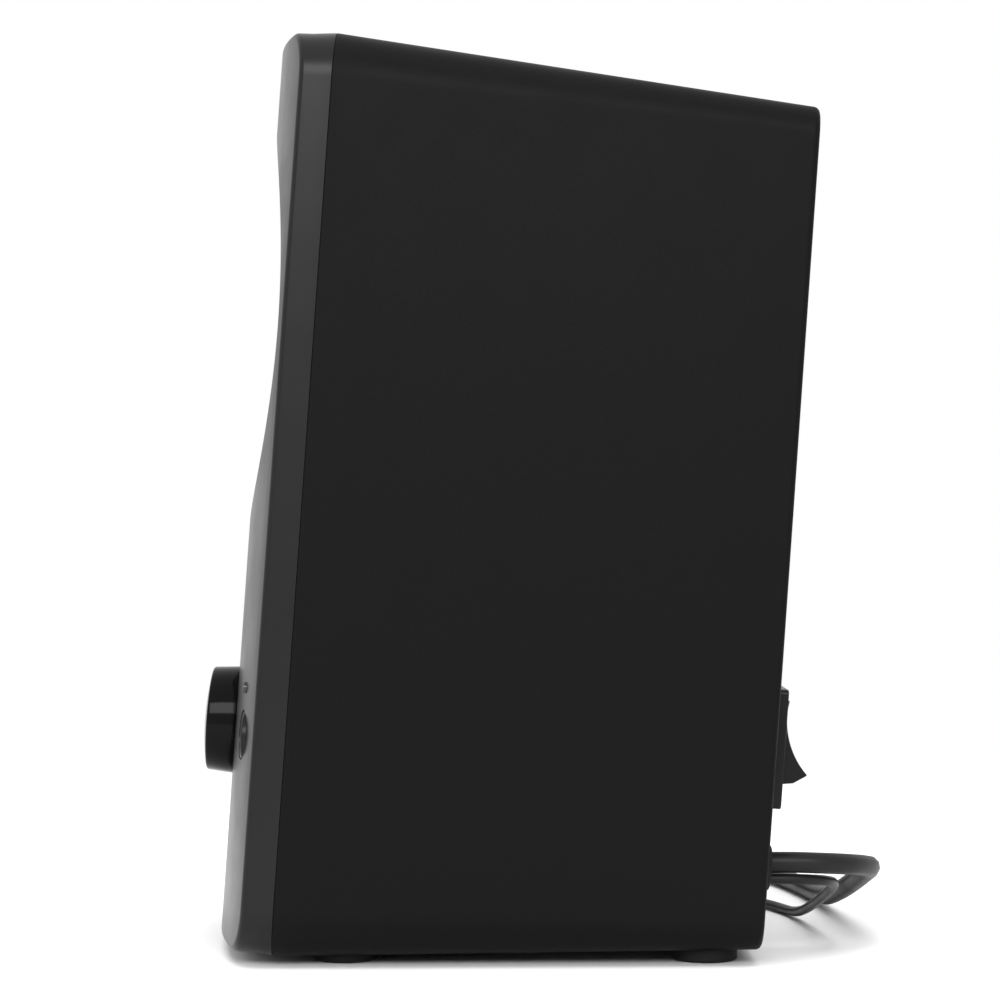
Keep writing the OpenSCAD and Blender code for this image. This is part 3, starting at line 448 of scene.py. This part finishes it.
# Half width, height, corner size and place of each ring along the plug's body.
mains_rings = [plug_outline(half, high, r, z) for half, high, r, z in
               [(6.2, 9.2, 4.6, 12.2), (7.2, 9.9, 4.6, 12.6), (9.5, 10.8, 4.6, 14.4), (14.5, 12.6, 5, 18.2),
                (16.6, 13.4, 5, 20.6), (17.3, 13.6, 5, 23.5), (17.0, 13.4, 5, 28), (16.7, 13.2, 5, 33),
                (17.1, 13.5, 5, 37.5), (17.4, 13.6, 5, 39.8), (17.2, 13.4, 5, 40.7), (16.7, 12.9, 5, 41.15),
                (15.8, 12.0, 5, 41.3)]]
mains_plug = make("mains_plug_body", *loft(mains_rings), at_mains_plug, sharp=50)
ribs = ribbed(6, 1.0, 1.9, 3.1, 0.25, [(0, 0), (0.35, 0.15), (0.4, 0.95), (0.05, 1.1), (-0.25, 1.3), (-0.2, 1.8)])
boot = revolve("mains_plug_boot", [(0, 0.2), (2.6, 0.2), (3.0, 0.5)] + ribs + [(4.6, 12.6), (4.6, 14), (0, 14)],
               at_mains_plug, 48)
settle(mains_plug, "part", "cabinet", "part_plastic", "mains_plug")
settle(boot, "part", "cabinet", "part_plastic")

PIN_X, SLEEVE_R, PIN_R, PIN_ROOT, SLEEVE_END, PIN_END = 9.3, 2.0, 1.9, 41.2, 51.2, 60.3
for side in (-1, 1):
    place = at_mains_plug @ Matrix.Translation((side * PIN_X, 0, 0))
    sleeve = revolve(f"mains_pin_sleeve_{side + 1}",
                     [(0, PIN_ROOT), (SLEEVE_R, PIN_ROOT), (SLEEVE_R, SLEEVE_END - 0.2),
                      (SLEEVE_R - 0.2, SLEEVE_END), (0, SLEEVE_END)], place, 48)
    settle(sleeve, "part", "cabinet", "part_plastic")
    tip = revolve(f"mains_pin_tip_{side + 1}",
                  [(0, SLEEVE_END - 0.1), (PIN_R, SLEEVE_END - 0.1), (PIN_R, PIN_END - PIN_R - 0.5)]
                  + [(r, z) for z, r in arc(PIN_END - PIN_R, 0, PIN_R, 90, 0, 8)], place, 48)
    settle(tip, "brass", "cabinet", "brass", *(["mains_plug_pins"] if side == 1 else []))

grip = ribbed(5, 1.2, 1.6, 1.9, 0.14, [(0, 0), (0.25, 0.1), (0.25, 0.8), (-0.15, 0.95), (-0.12, 1.5)])
signal_boot = revolve("signal_plug_boot",
                      [(0, 0.2), (1.5, 0.2), (1.7, 0.6)] + grip + [(2.6, 9.3), (2.6, 10.2), (0, 10.2)],
                      at_signal_plug, 40)
settle(signal_boot, "part", "cabinet", "part_plastic")
knurl = [(4.1, 10.2), (4.4, 10.5), (4.48, 11)]
knurl += ribbed(8, 12, 1.4, 4.48, 0, [(0, 0), (-0.18, 0.2), (-0.18, 0.7), (0, 0.9)])
signal_plug = revolve("signal_plug_body",
                      [(0, 10), (3.9, 10.05)] + knurl
                      + [(4.48, 25.6), (4.2, 26.6), (3.6, 27), (3.0, 27.05), (2.95, 28), (0, 28)], at_signal_plug, 64)
settle(signal_plug, "part", "cabinet", "part_plastic", "signal_plug")
contacts = revolve("signal_plug_tip",
                   [(0, 27.9), (1.75, 27.9), (1.75, 31.9), (1.68, 31.95), (1.68, 32.6), (1.75, 32.65), (1.75, 35.4),
                    (1.68, 35.45), (1.68, 36.1), (1.75, 36.15), (1.75, 38.7), (1.3, 39.3), (1.28, 39.9),
                    (1.62, 40.5), (1.55, 41), (1.0, 41.7), (0.4, 41.97), (0, 42)], at_signal_plug, 48)
settle(contacts, "brass", "cabinet", "brass", "signal_plug_contacts")
for name, z in (("signal_plug_insulators", 31.96), ("signal_plug_insulator_2", 35.46)):
    band = revolve(name, [(1.5, z), (1.7, z + 0.02), (1.7, z + 0.62), (1.5, z + 0.64)], at_signal_plug, 48)
    settle(band, "part", "cabinet", "part_plastic")


# ---- Rear shell: a lofted, tapering box with round corners and a rounded back edge ----
def shell_ring(t, inset, z, n=18):
    """A ring of the shell at t, which runs from 0 at the seam to 1 at the back, moved in by inset."""
    half = BODY_W / 2 - TAPER_W * t - inset
    low, high = SEAM_LOW + TAPER_H * t + inset, SEAM_LOW + BODY_H - TAPER_H * t - inset
    r = max(0.4, SEAM_R + (BACK_R - SEAM_R) * t - inset)
    return [(x, y, z) for x, y in round_rect(half, low, high, r, n)]


# Half of the seam's fine gap, and the chamfer along both of its edges.
SEAM_GAP, SEAM_CHAMFER = 0.02, 0.14
shell_rings = [shell_ring(0, WALL, -SEAM_GAP), shell_ring(0, SEAM_CHAMFER, -SEAM_GAP),
               shell_ring(0, 0.04, -0.06), shell_ring(0, 0, -SEAM_GAP - SEAM_CHAMFER)]
shell_rings += [shell_ring(k / 12, 0, -k / 12 * (SHELL_DEPTH - EDGE_R)) for k in range(1, 12)]
shell_rings += [shell_ring(1, EDGE_R * (1 - math.cos(a)), BACK_Z + EDGE_R * (1 - math.sin(a)))
                for a in [math.radians(10 * k) for k in range(10)]]
shell_rings += [shell_ring(1, WALL + 0.2, BACK_Z), shell_ring(1, WALL + 0.3, BACK_Z + WALL),
                shell_ring(1, WALL, BACK_Z + WALL + 0.5)]
shell_points, shell_faces = loft(shell_rings, closed=True)
ring_size = len(shell_rings[0])
last = len(shell_rings) - 1
# The back is closed by two plates, one on each face of the wall.
shell_faces += [tuple(range((last - 2) * ring_size, (last - 1) * ring_size)),
                tuple(range((last - 1) * ring_size, last * ring_size))]
shell_faces = [f for f in shell_faces if not (len(f) == 4 and min(f) // ring_size == last - 2
                                              and max(f) // ring_size == last - 1)]
shell = make("rear_shell_moulding", shell_points, shell_faces)
THROUGH_BACK = (BACK_Z - 2, BACK_Z + WALL + 2)
cutters = [disc(at(x, y), HEAD_WELL_R, *THROUGH_BACK, 48) for x, y in POSTS]
switch_hole = round_rect(SWITCH_W / 2 - 0.9, -SWITCH_H / 2 + 1.3, SWITCH_H / 2 - 1.3, 0.6, 4)
outlet_hole = round_rect(OUTLET_W / 2 - 0.5, -OUTLET_H / 2 + 0.5, OUTLET_H / 2 - 0.5, OUTLET_W / 2 - 0.51, 12)
cutters += [slab(at(SWITCH_X, SWITCH_Y), switch_hole, *THROUGH_BACK),
            slab(at(OUTLET_X, OUTLET_Y), outlet_hole, *THROUGH_BACK)]
cut(shell, *cutters)
bevel(shell, 0.18, 2, 50)
settle(shell, "shell", "cabinet", "shell_plastic", "rear_shell")


def screw_well(name, x, y):
    """The deep screw well behind a hole in the back, lined down to its floor."""
    top, floor, floor_t = BACK_Z + 0.6, -12.0, 2.4
    lining = [(HEAD_WELL_R, top), (HEAD_WELL_R, floor), (SCREW_HOLE_R, floor), (SCREW_HOLE_R, floor + floor_t),
              (WELL_R, floor + floor_t + 0.1), (WELL_R, top), (HEAD_WELL_R, top)]
    return settle(revolve(name, lining, at(x, y), 40), "shell", "cabinet", "shell_plastic")


for i, (x, y) in enumerate(POSTS):
    screw_well(f"screw_well_{i + 1}", x, y)


# ---- Front baffle: a drafted rim and a face that is crowned across its width ----
FRONT_EDGE_R = 0.9


def even_outline(half, low, high, r, count_x=29, n=18):
    """An outline whose top and bottom share their x places, so that the face can be ruled between them."""
    xs = [(-half + r) + (2 * (half - r)) * k / (count_x - 1) for k in range(count_x)]
    right_top = arc(half - r, high - r, r, 0, 90, n)
    left_top = arc(r - half, high - r, r, 90, 180, n)
    left_low = arc(r - half, low + r, r, 180, 270, n)
    right_low = arc(half - r, low + r, r, 270, 360, n)
    top = [(x, high) for x in reversed(xs)][1:-1]
    bottom = [(x, low) for x in xs][1:-1]
    return right_top + top + left_top + left_low + bottom + right_low


def baffle_outline(inset):
    return even_outline(BODY_W / 2 - inset, SEAM_LOW + inset, SEAM_LOW + BODY_H - inset, SEAM_R - inset)


rim = [[(x, y, z) for x, y in baffle_outline(inset)] for z, inset in
       [(SEAM_GAP, SEAM_CHAMFER), (0.06, 0.04), (SEAM_GAP + SEAM_CHAMFER, 0.01),
        (RIM * 0.4, DRAFT * 0.4), (RIM * 0.75, DRAFT * 0.8)]]
for k in range(9):
    a = math.radians(90 * k / 8)
    inset = DRAFT + FRONT_EDGE_R * (1 - math.cos(a))
    rim.append([(x, y, face_z(x) - FRONT_EDGE_R * (1 - math.sin(a))) for x, y in baffle_outline(inset)])
count = len(rim[0])
points = [p for ring in rim for p in ring]
faces = [(a * count + k, a * count + (k + 1) % count, (a + 1) * count + (k + 1) % count, (a + 1) * count + k)
         for a in range(len(rim) - 1) for k in range(count)]
# The face is ruled from top to bottom, and the back is one flat plate.
half_count = count // 2
top_start = (len(rim) - 1) * count
for k in range(half_count - 1):
    a, b = top_start + k, top_start + k + 1
    faces.append((a, b, top_start + count - 2 - k, top_start + count - 1 - k))
faces.append(tuple(range(count))[::-1])
baffle = make("front_baffle_moulding", points, faces, sharp=32)
NUT_POCKET_R, SHAFT_HOLE_R = 7.0, 4.1
# Heights behind and in front of the whole baffle, from which the cuts start and where they end.
BEHIND, AHEAD = -2, 20
collar_z = face_z(JACK_X + COLLAR_R) - 0.5
cut(baffle,
    disc(at(0, DRIVER_Y), RECESS_R, LEDGE_Z, AHEAD, 192),
    disc(at(0, DRIVER_Y), LEDGE_HOLE_R, BEHIND, LEDGE_Z + 1, 128),
    disc(at(0, KNOB_Y), SHAFT_HOLE_R, BEHIND, AHEAD, 64),
    disc(at(0, KNOB_Y), NUT_POCKET_R, face_z(0) - 1, AHEAD, 64),
    disc(at(0, KNOB_Y), KNOB_R + KNOB_GAP, face_z(0) - KNOB_SINK - KNOB_GAP, AHEAD, 128),
    disc(at(JACK_X, JACK_Y), JACK_HOLE_R, BEHIND, AHEAD, 48),
    disc(at(JACK_X, JACK_Y), COLLAR_R + 0.2, collar_z, AHEAD, 64),
    disc(at(LAMP_X, LAMP_Y), LAMP_HOLE_R, BEHIND, AHEAD, 32))
bevel(baffle, 0.3, 3, 40)
settle(baffle, "baffle", "cabinet", "baffle_plastic", "front_baffle")


# ---- Driver ----
at_driver = at(0, DRIVER_Y)
seat, lip = FLANGE_FACE + 0.02, FLANGE_FACE + LIP_T
trim_in, trim_out = LIP_R + 0.1, RECESS_R - 0.12
trim = revolve("driver_trim_ring_moulding",
               [(trim_in, seat), (trim_out, seat), (trim_out, RIM + 0.5)]
               + arc(trim_out - 0.4, RIM + 0.5, 0.4, 0, 90, 6)
               + [(RECESS_R - 1.1, RIM + 0.85), (RECESS_R - 2.4, RIM + 0.2), (LIP_R + 1.1, FLANGE_FACE + 1.45),
                  (LIP_R + 0.5, FLANGE_FACE + 1.2), (LIP_R + 0.2, FLANGE_FACE + 0.95),
                  (trim_in, FLANGE_FACE + 0.7), (trim_in, seat)], at_driver, 192)
settle(trim, "baffle", "cabinet", "baffle_plastic", "driver_trim_ring")


def roll_arc(r, z, angles):
    """Points round the middle of the surround's roll, z above the flange's face."""
    return [(ROLL_MID + r * math.cos(math.radians(a)), FLANGE_FACE + z + r * math.sin(math.radians(a)))
            for a in angles]


# The surround's section: its outer lip, the roll's top, its inner lip, and the roll's underside back again.
ROLL_T = 0.5
roll = [(LIP_R, seat), (LIP_R, lip), (ROLL_MID + ROLL_R + 0.5, lip), (ROLL_MID + ROLL_R + 0.15, lip + 0.1)]
roll += roll_arc(ROLL_R, 0.25, range(16, 166, 8))
roll += [(ROLL_MID - ROLL_R - 0.15, lip + 0.1), (ROLL_MID - ROLL_R - 0.5, lip), (CONE_R - 2.2, lip + 0.02),
         (CONE_R - 2.5, lip - 0.1), (CONE_R - 2.6, FLANGE_FACE + 0.1), (CONE_R - 1.8, seat)]
roll += roll_arc(ROLL_R - ROLL_T, 0.05, range(170, 0, -10))
roll += [(LIP_R, seat)]
# It is made in sectors, each a revolve of the same section.
SECTORS, ROLL_OUTSIDE, ROLL_INSIDE = 12, 31.6, 26.0
for i in range(SECTORS):
    start = 360 / SECTORS * i
    sector = revolve(f"driver_surround_{i + 1}", roll, at_driver, 20, 60, start, 360 / SECTORS)
    dress(sector, "surround")
    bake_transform(sector)
    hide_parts("driver_surround")
# The cone's face runs from its neck to its rim, a little fuller than straight.
CONE_T, FULLNESS = 0.6, 0.06
neck_r, neck_top, cone_glue_r = COIL_R + 0.5, NECK_Z + CONE_T, COIL_R + 0.03
cone_face = [(neck_r + (CONE_R - 2 - neck_r) * t,
              neck_top + (FLANGE_FACE - neck_top) * (t + FULLNESS * math.sin(math.pi * t)))
             for t in [k / 24 for k in range(25)]]
cone = revolve("driver_cone_pulp",
               [(cone_glue_r, NECK_Z), (cone_glue_r, neck_top)] + cone_face
               + [(CONE_R, FLANGE_FACE), (CONE_R, FLANGE_FACE - 0.5), (CONE_R - 1.8, FLANGE_FACE - CONE_T)]
               + [(r + 0.3, z - CONE_T) for r, z in reversed(cone_face[1:-1])] + [(cone_glue_r, NECK_Z)],
               at_driver, 160, 50)
settle(cone, "cone", "cone", "cone_paper", "driver_cone")
CAP_R, CAP_H = 10.8, 3.5
cap_base = NECK_Z + 0.7 + (CAP_R - COIL_R) * (CONE_DEPTH - CONE_T) / (CONE_R - COIL_R - 2.5)
dome_r = (CAP_R**2 + CAP_H**2) / (2 * CAP_H)
edge = math.degrees(math.asin(CAP_R / dome_r))
cap = revolve("driver_dust_cap_dome",
              arc(0, cap_base + CAP_H - dome_r, dome_r, 90, 90 - edge, 20)
              + [(CAP_R + 0.45, cap_base + 0.12), (CAP_R + 0.5, cap_base - 0.2),
                 (CAP_R - 0.2, cap_base - 0.3), (0, cap_base - 0.3)], at_driver, 96, 60)
settle(cap, "cone", "cone", "cone_paper", "driver_dust_cap")


# ---- Volume knob ----
at_knob = at(0, KNOB_Y)
base, front = face_z(0) - KNOB_SINK, face_z(0) + KNOB_RIM
small = KNOB_R - KNOB_DRAFT
knob_dome_r = (small**2 + KNOB_DOME**2) / (2 * KNOB_DOME)
dome = [(r, front + KNOB_DOME - knob_dome_r + math.sqrt(knob_dome_r**2 - r * r)) for r in
        [small * k / 18 for k in range(18)] + [small - 0.35]]
rim_round = [(small - 0.2, front - 0.02), (small - 0.08, front - 0.16), (small - 0.01, front - 0.36)]
knob = revolve("volume_knob_cap", dome + rim_round
               + [(KNOB_R - 0.02, base + 0.3), (KNOB_R - 0.1, base + 0.08), (KNOB_R - 0.35, base), (KNOB_R - 1.4, base),
                  (KNOB_R - 1.6, base + 0.3), (KNOB_R - 1.6, base + 1.5), (0, base + 1.5)], at_knob, 192, 40)
POINTER_W, POINTER_H, POINTER_Y, POINTER_GAP = 0.9, 3.0, KNOB_R - 3.4, 0.04


def pointer_outline(grow, r):
    return round_rect(POINTER_W / 2 + grow, POINTER_Y - POINTER_H / 2 - grow, POINTER_Y + POINTER_H / 2 + grow, r, 6)


cut(knob, slab(at_knob, pointer_outline(POINTER_GAP, 0.45), front - 0.4, front + 3))
settle(knob, "knob", "knob", "knob_plastic", "volume_knob")
pointer = slab(at_knob, pointer_outline(0, 0.42), front - 0.4, front + 0.42, "knob_pointer_inlay")
bevel(pointer, 0.1, 2)
settle(pointer, "paint", "knob", "pointer_paint", "knob_pointer")


# ---- Headphone socket's collar ----
collar = revolve("headphone_collar_ring",
                 [(COLLAR_BORE_R, collar_z), (COLLAR_R, collar_z), (COLLAR_R, collar_z + 1.1)]
                 + arc(COLLAR_R - 0.4, collar_z + 1.1, 0.4, 0, 90, 6)
                 + [(3.4, collar_z + 1.5), (3.15, collar_z + 1.38), (COLLAR_BORE_R, collar_z + 1.2),
                    (COLLAR_BORE_R, collar_z)],
                 at(JACK_X, JACK_Y), 64)
settle(collar, "baffle", "cabinet", "steel", "headphone_jack_collar")


# ---- Power switch ----
at_switch = at(SWITCH_X, SWITCH_Y)
SLOT_HALF, ROCKER_W, HUB = SWITCH_H / 2 - 1.9, SWITCH_W - 4.6, 2.4
slot = round_rect(ROCKER_W / 2 + 0.2, -SLOT_HALF, SLOT_HALF, 0.3, 3)
flange = slab(at_switch, round_rect(SWITCH_W / 2, -SWITCH_H / 2, SWITCH_H / 2, 0.9, 6), BACK_Z - SWITCH_FLANGE,
              BACK_Z - 0.01, "switch_frame_moulding")
cut(flange, slab(at_switch, slot, BACK_Z - 5, BACK_Z + 5))
bevel(flange, 0.35, 3)
settle(flange, "switch", "cabinet", "switch_plastic")
BODY_DEPTH, SLOT_DEPTH = 15, 8.9
body = slab(at_switch, round_rect(SWITCH_W / 2 - 1, -SWITCH_H / 2 + 1.4, SWITCH_H / 2 - 1.4, 0.3, 3), BACK_Z,
            BACK_Z + BODY_DEPTH, "switch_body_moulding")
cut(body, slab(at_switch, slot, BACK_Z - 5, BACK_Z + SLOT_DEPTH))
settle(body, "switch", "cabinet", "switch_plastic", "switch_frame")
ROCKER_HALF, WAIST, ROCKER_OUT, TIP = SLOT_HALF - 1.9, SWITCH_FLANGE + 2.4, SWITCH_FLANGE + 5.3, 17.0
# The rocker's outline in its middle position: along the slot, then out of the cabinet.
tip = ROCKER_HALF - 0.1
DISH_R, DISH_RISE = 15, 13.2
dished = [(x, ROCKER_OUT + DISH_RISE - math.sqrt(DISH_R**2 - x * x)) for x in
          [tip * (1 - 2 * k / 24) for k in range(25)]]
side_view = [(3, -3.5), (ROCKER_HALF, 0), (ROCKER_HALF + 0.7, WAIST), (tip, ROCKER_OUT)] + dished[1:-1]
side_view += [(-tip, ROCKER_OUT), (-ROCKER_HALF - 0.7, WAIST), (-ROCKER_HALF, 0), (-3, -3.5)]
rocker_place = at_switch @ Matrix.Translation((0, 0, BACK_Z + HUB)) @ Matrix.Rotation(math.radians(TIP), 4, "X")
rocker = make("power_rocker_key",
              *loft([[(x, a, -b) for a, b in side_view] for x in (-ROCKER_W / 2, ROCKER_W / 2)]), rocker_place)
bevel(rocker, 0.3, 4, 30)
settle(rocker, "switch", "rocker", "switch_plastic", "switch_rocker")


# ---- Cable outlet ----
def outlet_ring(inset, z):
    return [(x, y, z) for x, y in round_rect(OUTLET_W / 2 - inset, -OUTLET_H / 2 + inset, OUTLET_H / 2 - inset,
                                             OUTLET_W / 2 - inset - 0.005, 16)]


grommet = make("cable_grommet_moulding", *loft(
    [outlet_ring(inset, BACK_Z + z) for inset, z in
     [(0.6, WALL), (0.6, 0), (0, -0.02), (0, -0.9), (0.1, -1.2), (0.35, -1.5), (0.8, -1.66), (1.2, -OUTLET_OUT)]]),
    at(OUTLET_X, OUTLET_Y), sharp=60)
settle(grommet, "rubber", "cabinet", "lead_jacket", "cable_grommet")


# ---- Feet ----
FOOT_R, FOOT_H, FOOT_X, FOOT_FRONT, FOOT_REAR = 6.0, 3.2, 29.0, 13, 9.5
foot_places = [(x, y) for x in (-FOOT_X, FOOT_X) for y in (SEAM_Y + FOOT_FRONT, SEAM_Y + SHELL_DEPTH - FOOT_REAR)]
for i, (x, y) in enumerate(foot_places):
    foot = revolve(f"rubber_foot_{i + 1}",
                   [(0, 0.35), (2.5, 0.35), (2.7, 0), (3.6, 0), (3.8, 0.3), (4.2, 0.3), (4.4, 0), (5.4, 0)]
                   + arc(FOOT_R - 0.5, 0.5, 0.5, -90, 0, 6) + [(FOOT_R, FOOT_H - 0.02), (0, FOOT_H - 0.02)],
                   UPRIGHT @ Matrix.Translation((x, y, 0)), 72, 40)
    settle(foot, "rubber", "cabinet", "foot_rubber", "rubber_feet")


# ---- CAD nodes that stay as they are, with materials of their own ----
KEPT = {
    "steel": ["housing_screws", "driver_top_plate", "driver_back_plate", "board_screws", "volume_potentiometer",
              "potentiometer_nut", "transformer_core", "transformer_bracket", "transformer_screws"],
    "black_steel": ["driver_basket", "driver_screws"],
    "rubber": ["driver_gasket"],
    "spider": ["driver_spider"],
    "copper": ["driver_voice_coil"],
    "ferrite": ["driver_magnet"],
    "brass": ["driver_terminals", "switch_terminals"],
    "board": ["amplifier_board"],
    "can": ["electrolytic_capacitors"],
    "part": ["amplifier_ic", "headphone_jack", "power_led"],
    "aluminium": ["heatsink", "potentiometer_shaft"],
    "nylon": ["board_connectors"],
    "lens": ["led_lens"],
    "tape": ["transformer_winding"],
    "jacket": ["mains_inner_wire"],
    "red_wire": ["transformer_wires", "speaker_wires"],
}
for material, names in KEPT.items():
    for name in names:
        node = frame["nodes"][name]
        for i in range(len(node.data.materials)):
            node.data.materials[i] = MATS[material]


# ---- Stage: a pale floor, a white surround and soft lamps ----
def backdrop_share(tree):
    """1 where a ray comes straight from the camera, a reflection or clear glass."""
    path = tree.nodes.new("ShaderNodeLightPath")
    total = path.outputs["Is Camera Ray"]
    for other in ("Is Glossy Ray", "Is Transmission Ray"):
        add = tree.nodes.new("ShaderNodeMath")
        add.operation = "MAXIMUM"
        tree.links.new(total, add.inputs[0])
        tree.links.new(path.outputs[other], add.inputs[1])
        total = add.outputs[0]
    return total


floor_mesh = bpy.data.meshes.new("floor")
FLOOR = 6
floor_mesh.from_pydata([(-FLOOR, -FLOOR, 0), (FLOOR, -FLOOR, 0), (FLOOR, FLOOR, 0), (-FLOOR, FLOOR, 0)], [],
                       [(0, 1, 2, 3)])
floor = bpy.data.objects.new("floor", floor_mesh)
bpy.context.collection.objects.link(floor)
floor.location.z = -0.0001
floor_mat, tree, shader = nodes_of("floor_paint")
shader.inputs["Base Color"].default_value = (0.9, 0.9, 0.9, 1)
shader.inputs["Roughness"].default_value = 0.9
glow = tree.nodes.new("ShaderNodeEmission")
mix = tree.nodes.new("ShaderNodeMixShader")
# Close to the object the floor is plain paint, so that its shadow stays; further out it glows white.
spot = tree.nodes.new("ShaderNodeTexCoord")
reach = tree.nodes.new("ShaderNodeVectorMath")
reach.operation = "LENGTH"
tree.links.new(spot.outputs["Object"], reach.inputs[0])
far = tree.nodes.new("ShaderNodeMapRange")
far.interpolation_type = "SMOOTHSTEP"
far.inputs["From Min"].default_value = 0.12
far.inputs["From Max"].default_value = 0.5
tree.links.new(reach.outputs["Value"], far.inputs["Value"])
share = tree.nodes.new("ShaderNodeMath")
share.operation = "MULTIPLY"
tree.links.new(backdrop_share(tree), share.inputs[0])
tree.links.new(far.outputs["Result"], share.inputs[1])
tree.links.new(share.outputs[0], mix.inputs["Fac"])
tree.links.new(shader.outputs["BSDF"], mix.inputs[1])
tree.links.new(glow.outputs["Emission"], mix.inputs[2])
tree.links.new(mix.outputs["Shader"], tree.nodes["Material Output"].inputs["Surface"])
floor_mesh.materials.append(floor_mat)

world = bpy.data.worlds.new("world")
bpy.context.scene.world = world
world.use_nodes = True
tree = world.node_tree
sky = tree.nodes["Background"]
sky.inputs["Color"].default_value = (1, 1, 1, 1)
strength = tree.nodes.new("ShaderNodeMapRange")
strength.inputs["To Min"].default_value = 0.3
strength.inputs["To Max"].default_value = 1.0
tree.links.new(backdrop_share(tree), strength.inputs["Value"])
tree.links.new(strength.outputs["Result"], sky.inputs["Strength"])


def lamp(name, place, target, size, power, mirrored=True):
    """A soft rectangular lamp; one that isn't mirrored lights the object but shows in no reflection."""
    light = bpy.data.objects.new(name, bpy.data.lights.new(name, "AREA"))
    light.data.shape = "RECTANGLE"
    light.data.size, light.data.size_y = size
    light.data.energy = power
    light.location = place
    light.rotation_euler = (Vector(target) - Vector(place)).to_track_quat("-Z", "Y").to_euler()
    light.visible_glossy = mirrored
    bpy.context.collection.objects.link(light)


CENTER = (0, 0, 0.085)
lamp("softbox", (1.08, -0.05, 0.62), CENTER, (1.2, 0.5), 12)
lamp("over", (0.1, 0.0, 1.2), (0, 0, 0), (1.2, 1.2), 18, False)
lamp("front", (0.2, -1.1, 0.5), CENTER, (0.7, 0.7), 5, False)
lamp("far_side", (-0.9, 0.7, 0.7), CENTER, (0.7, 0.7), 6, False)

bpy.context.scene.view_settings.view_transform = "Standard"
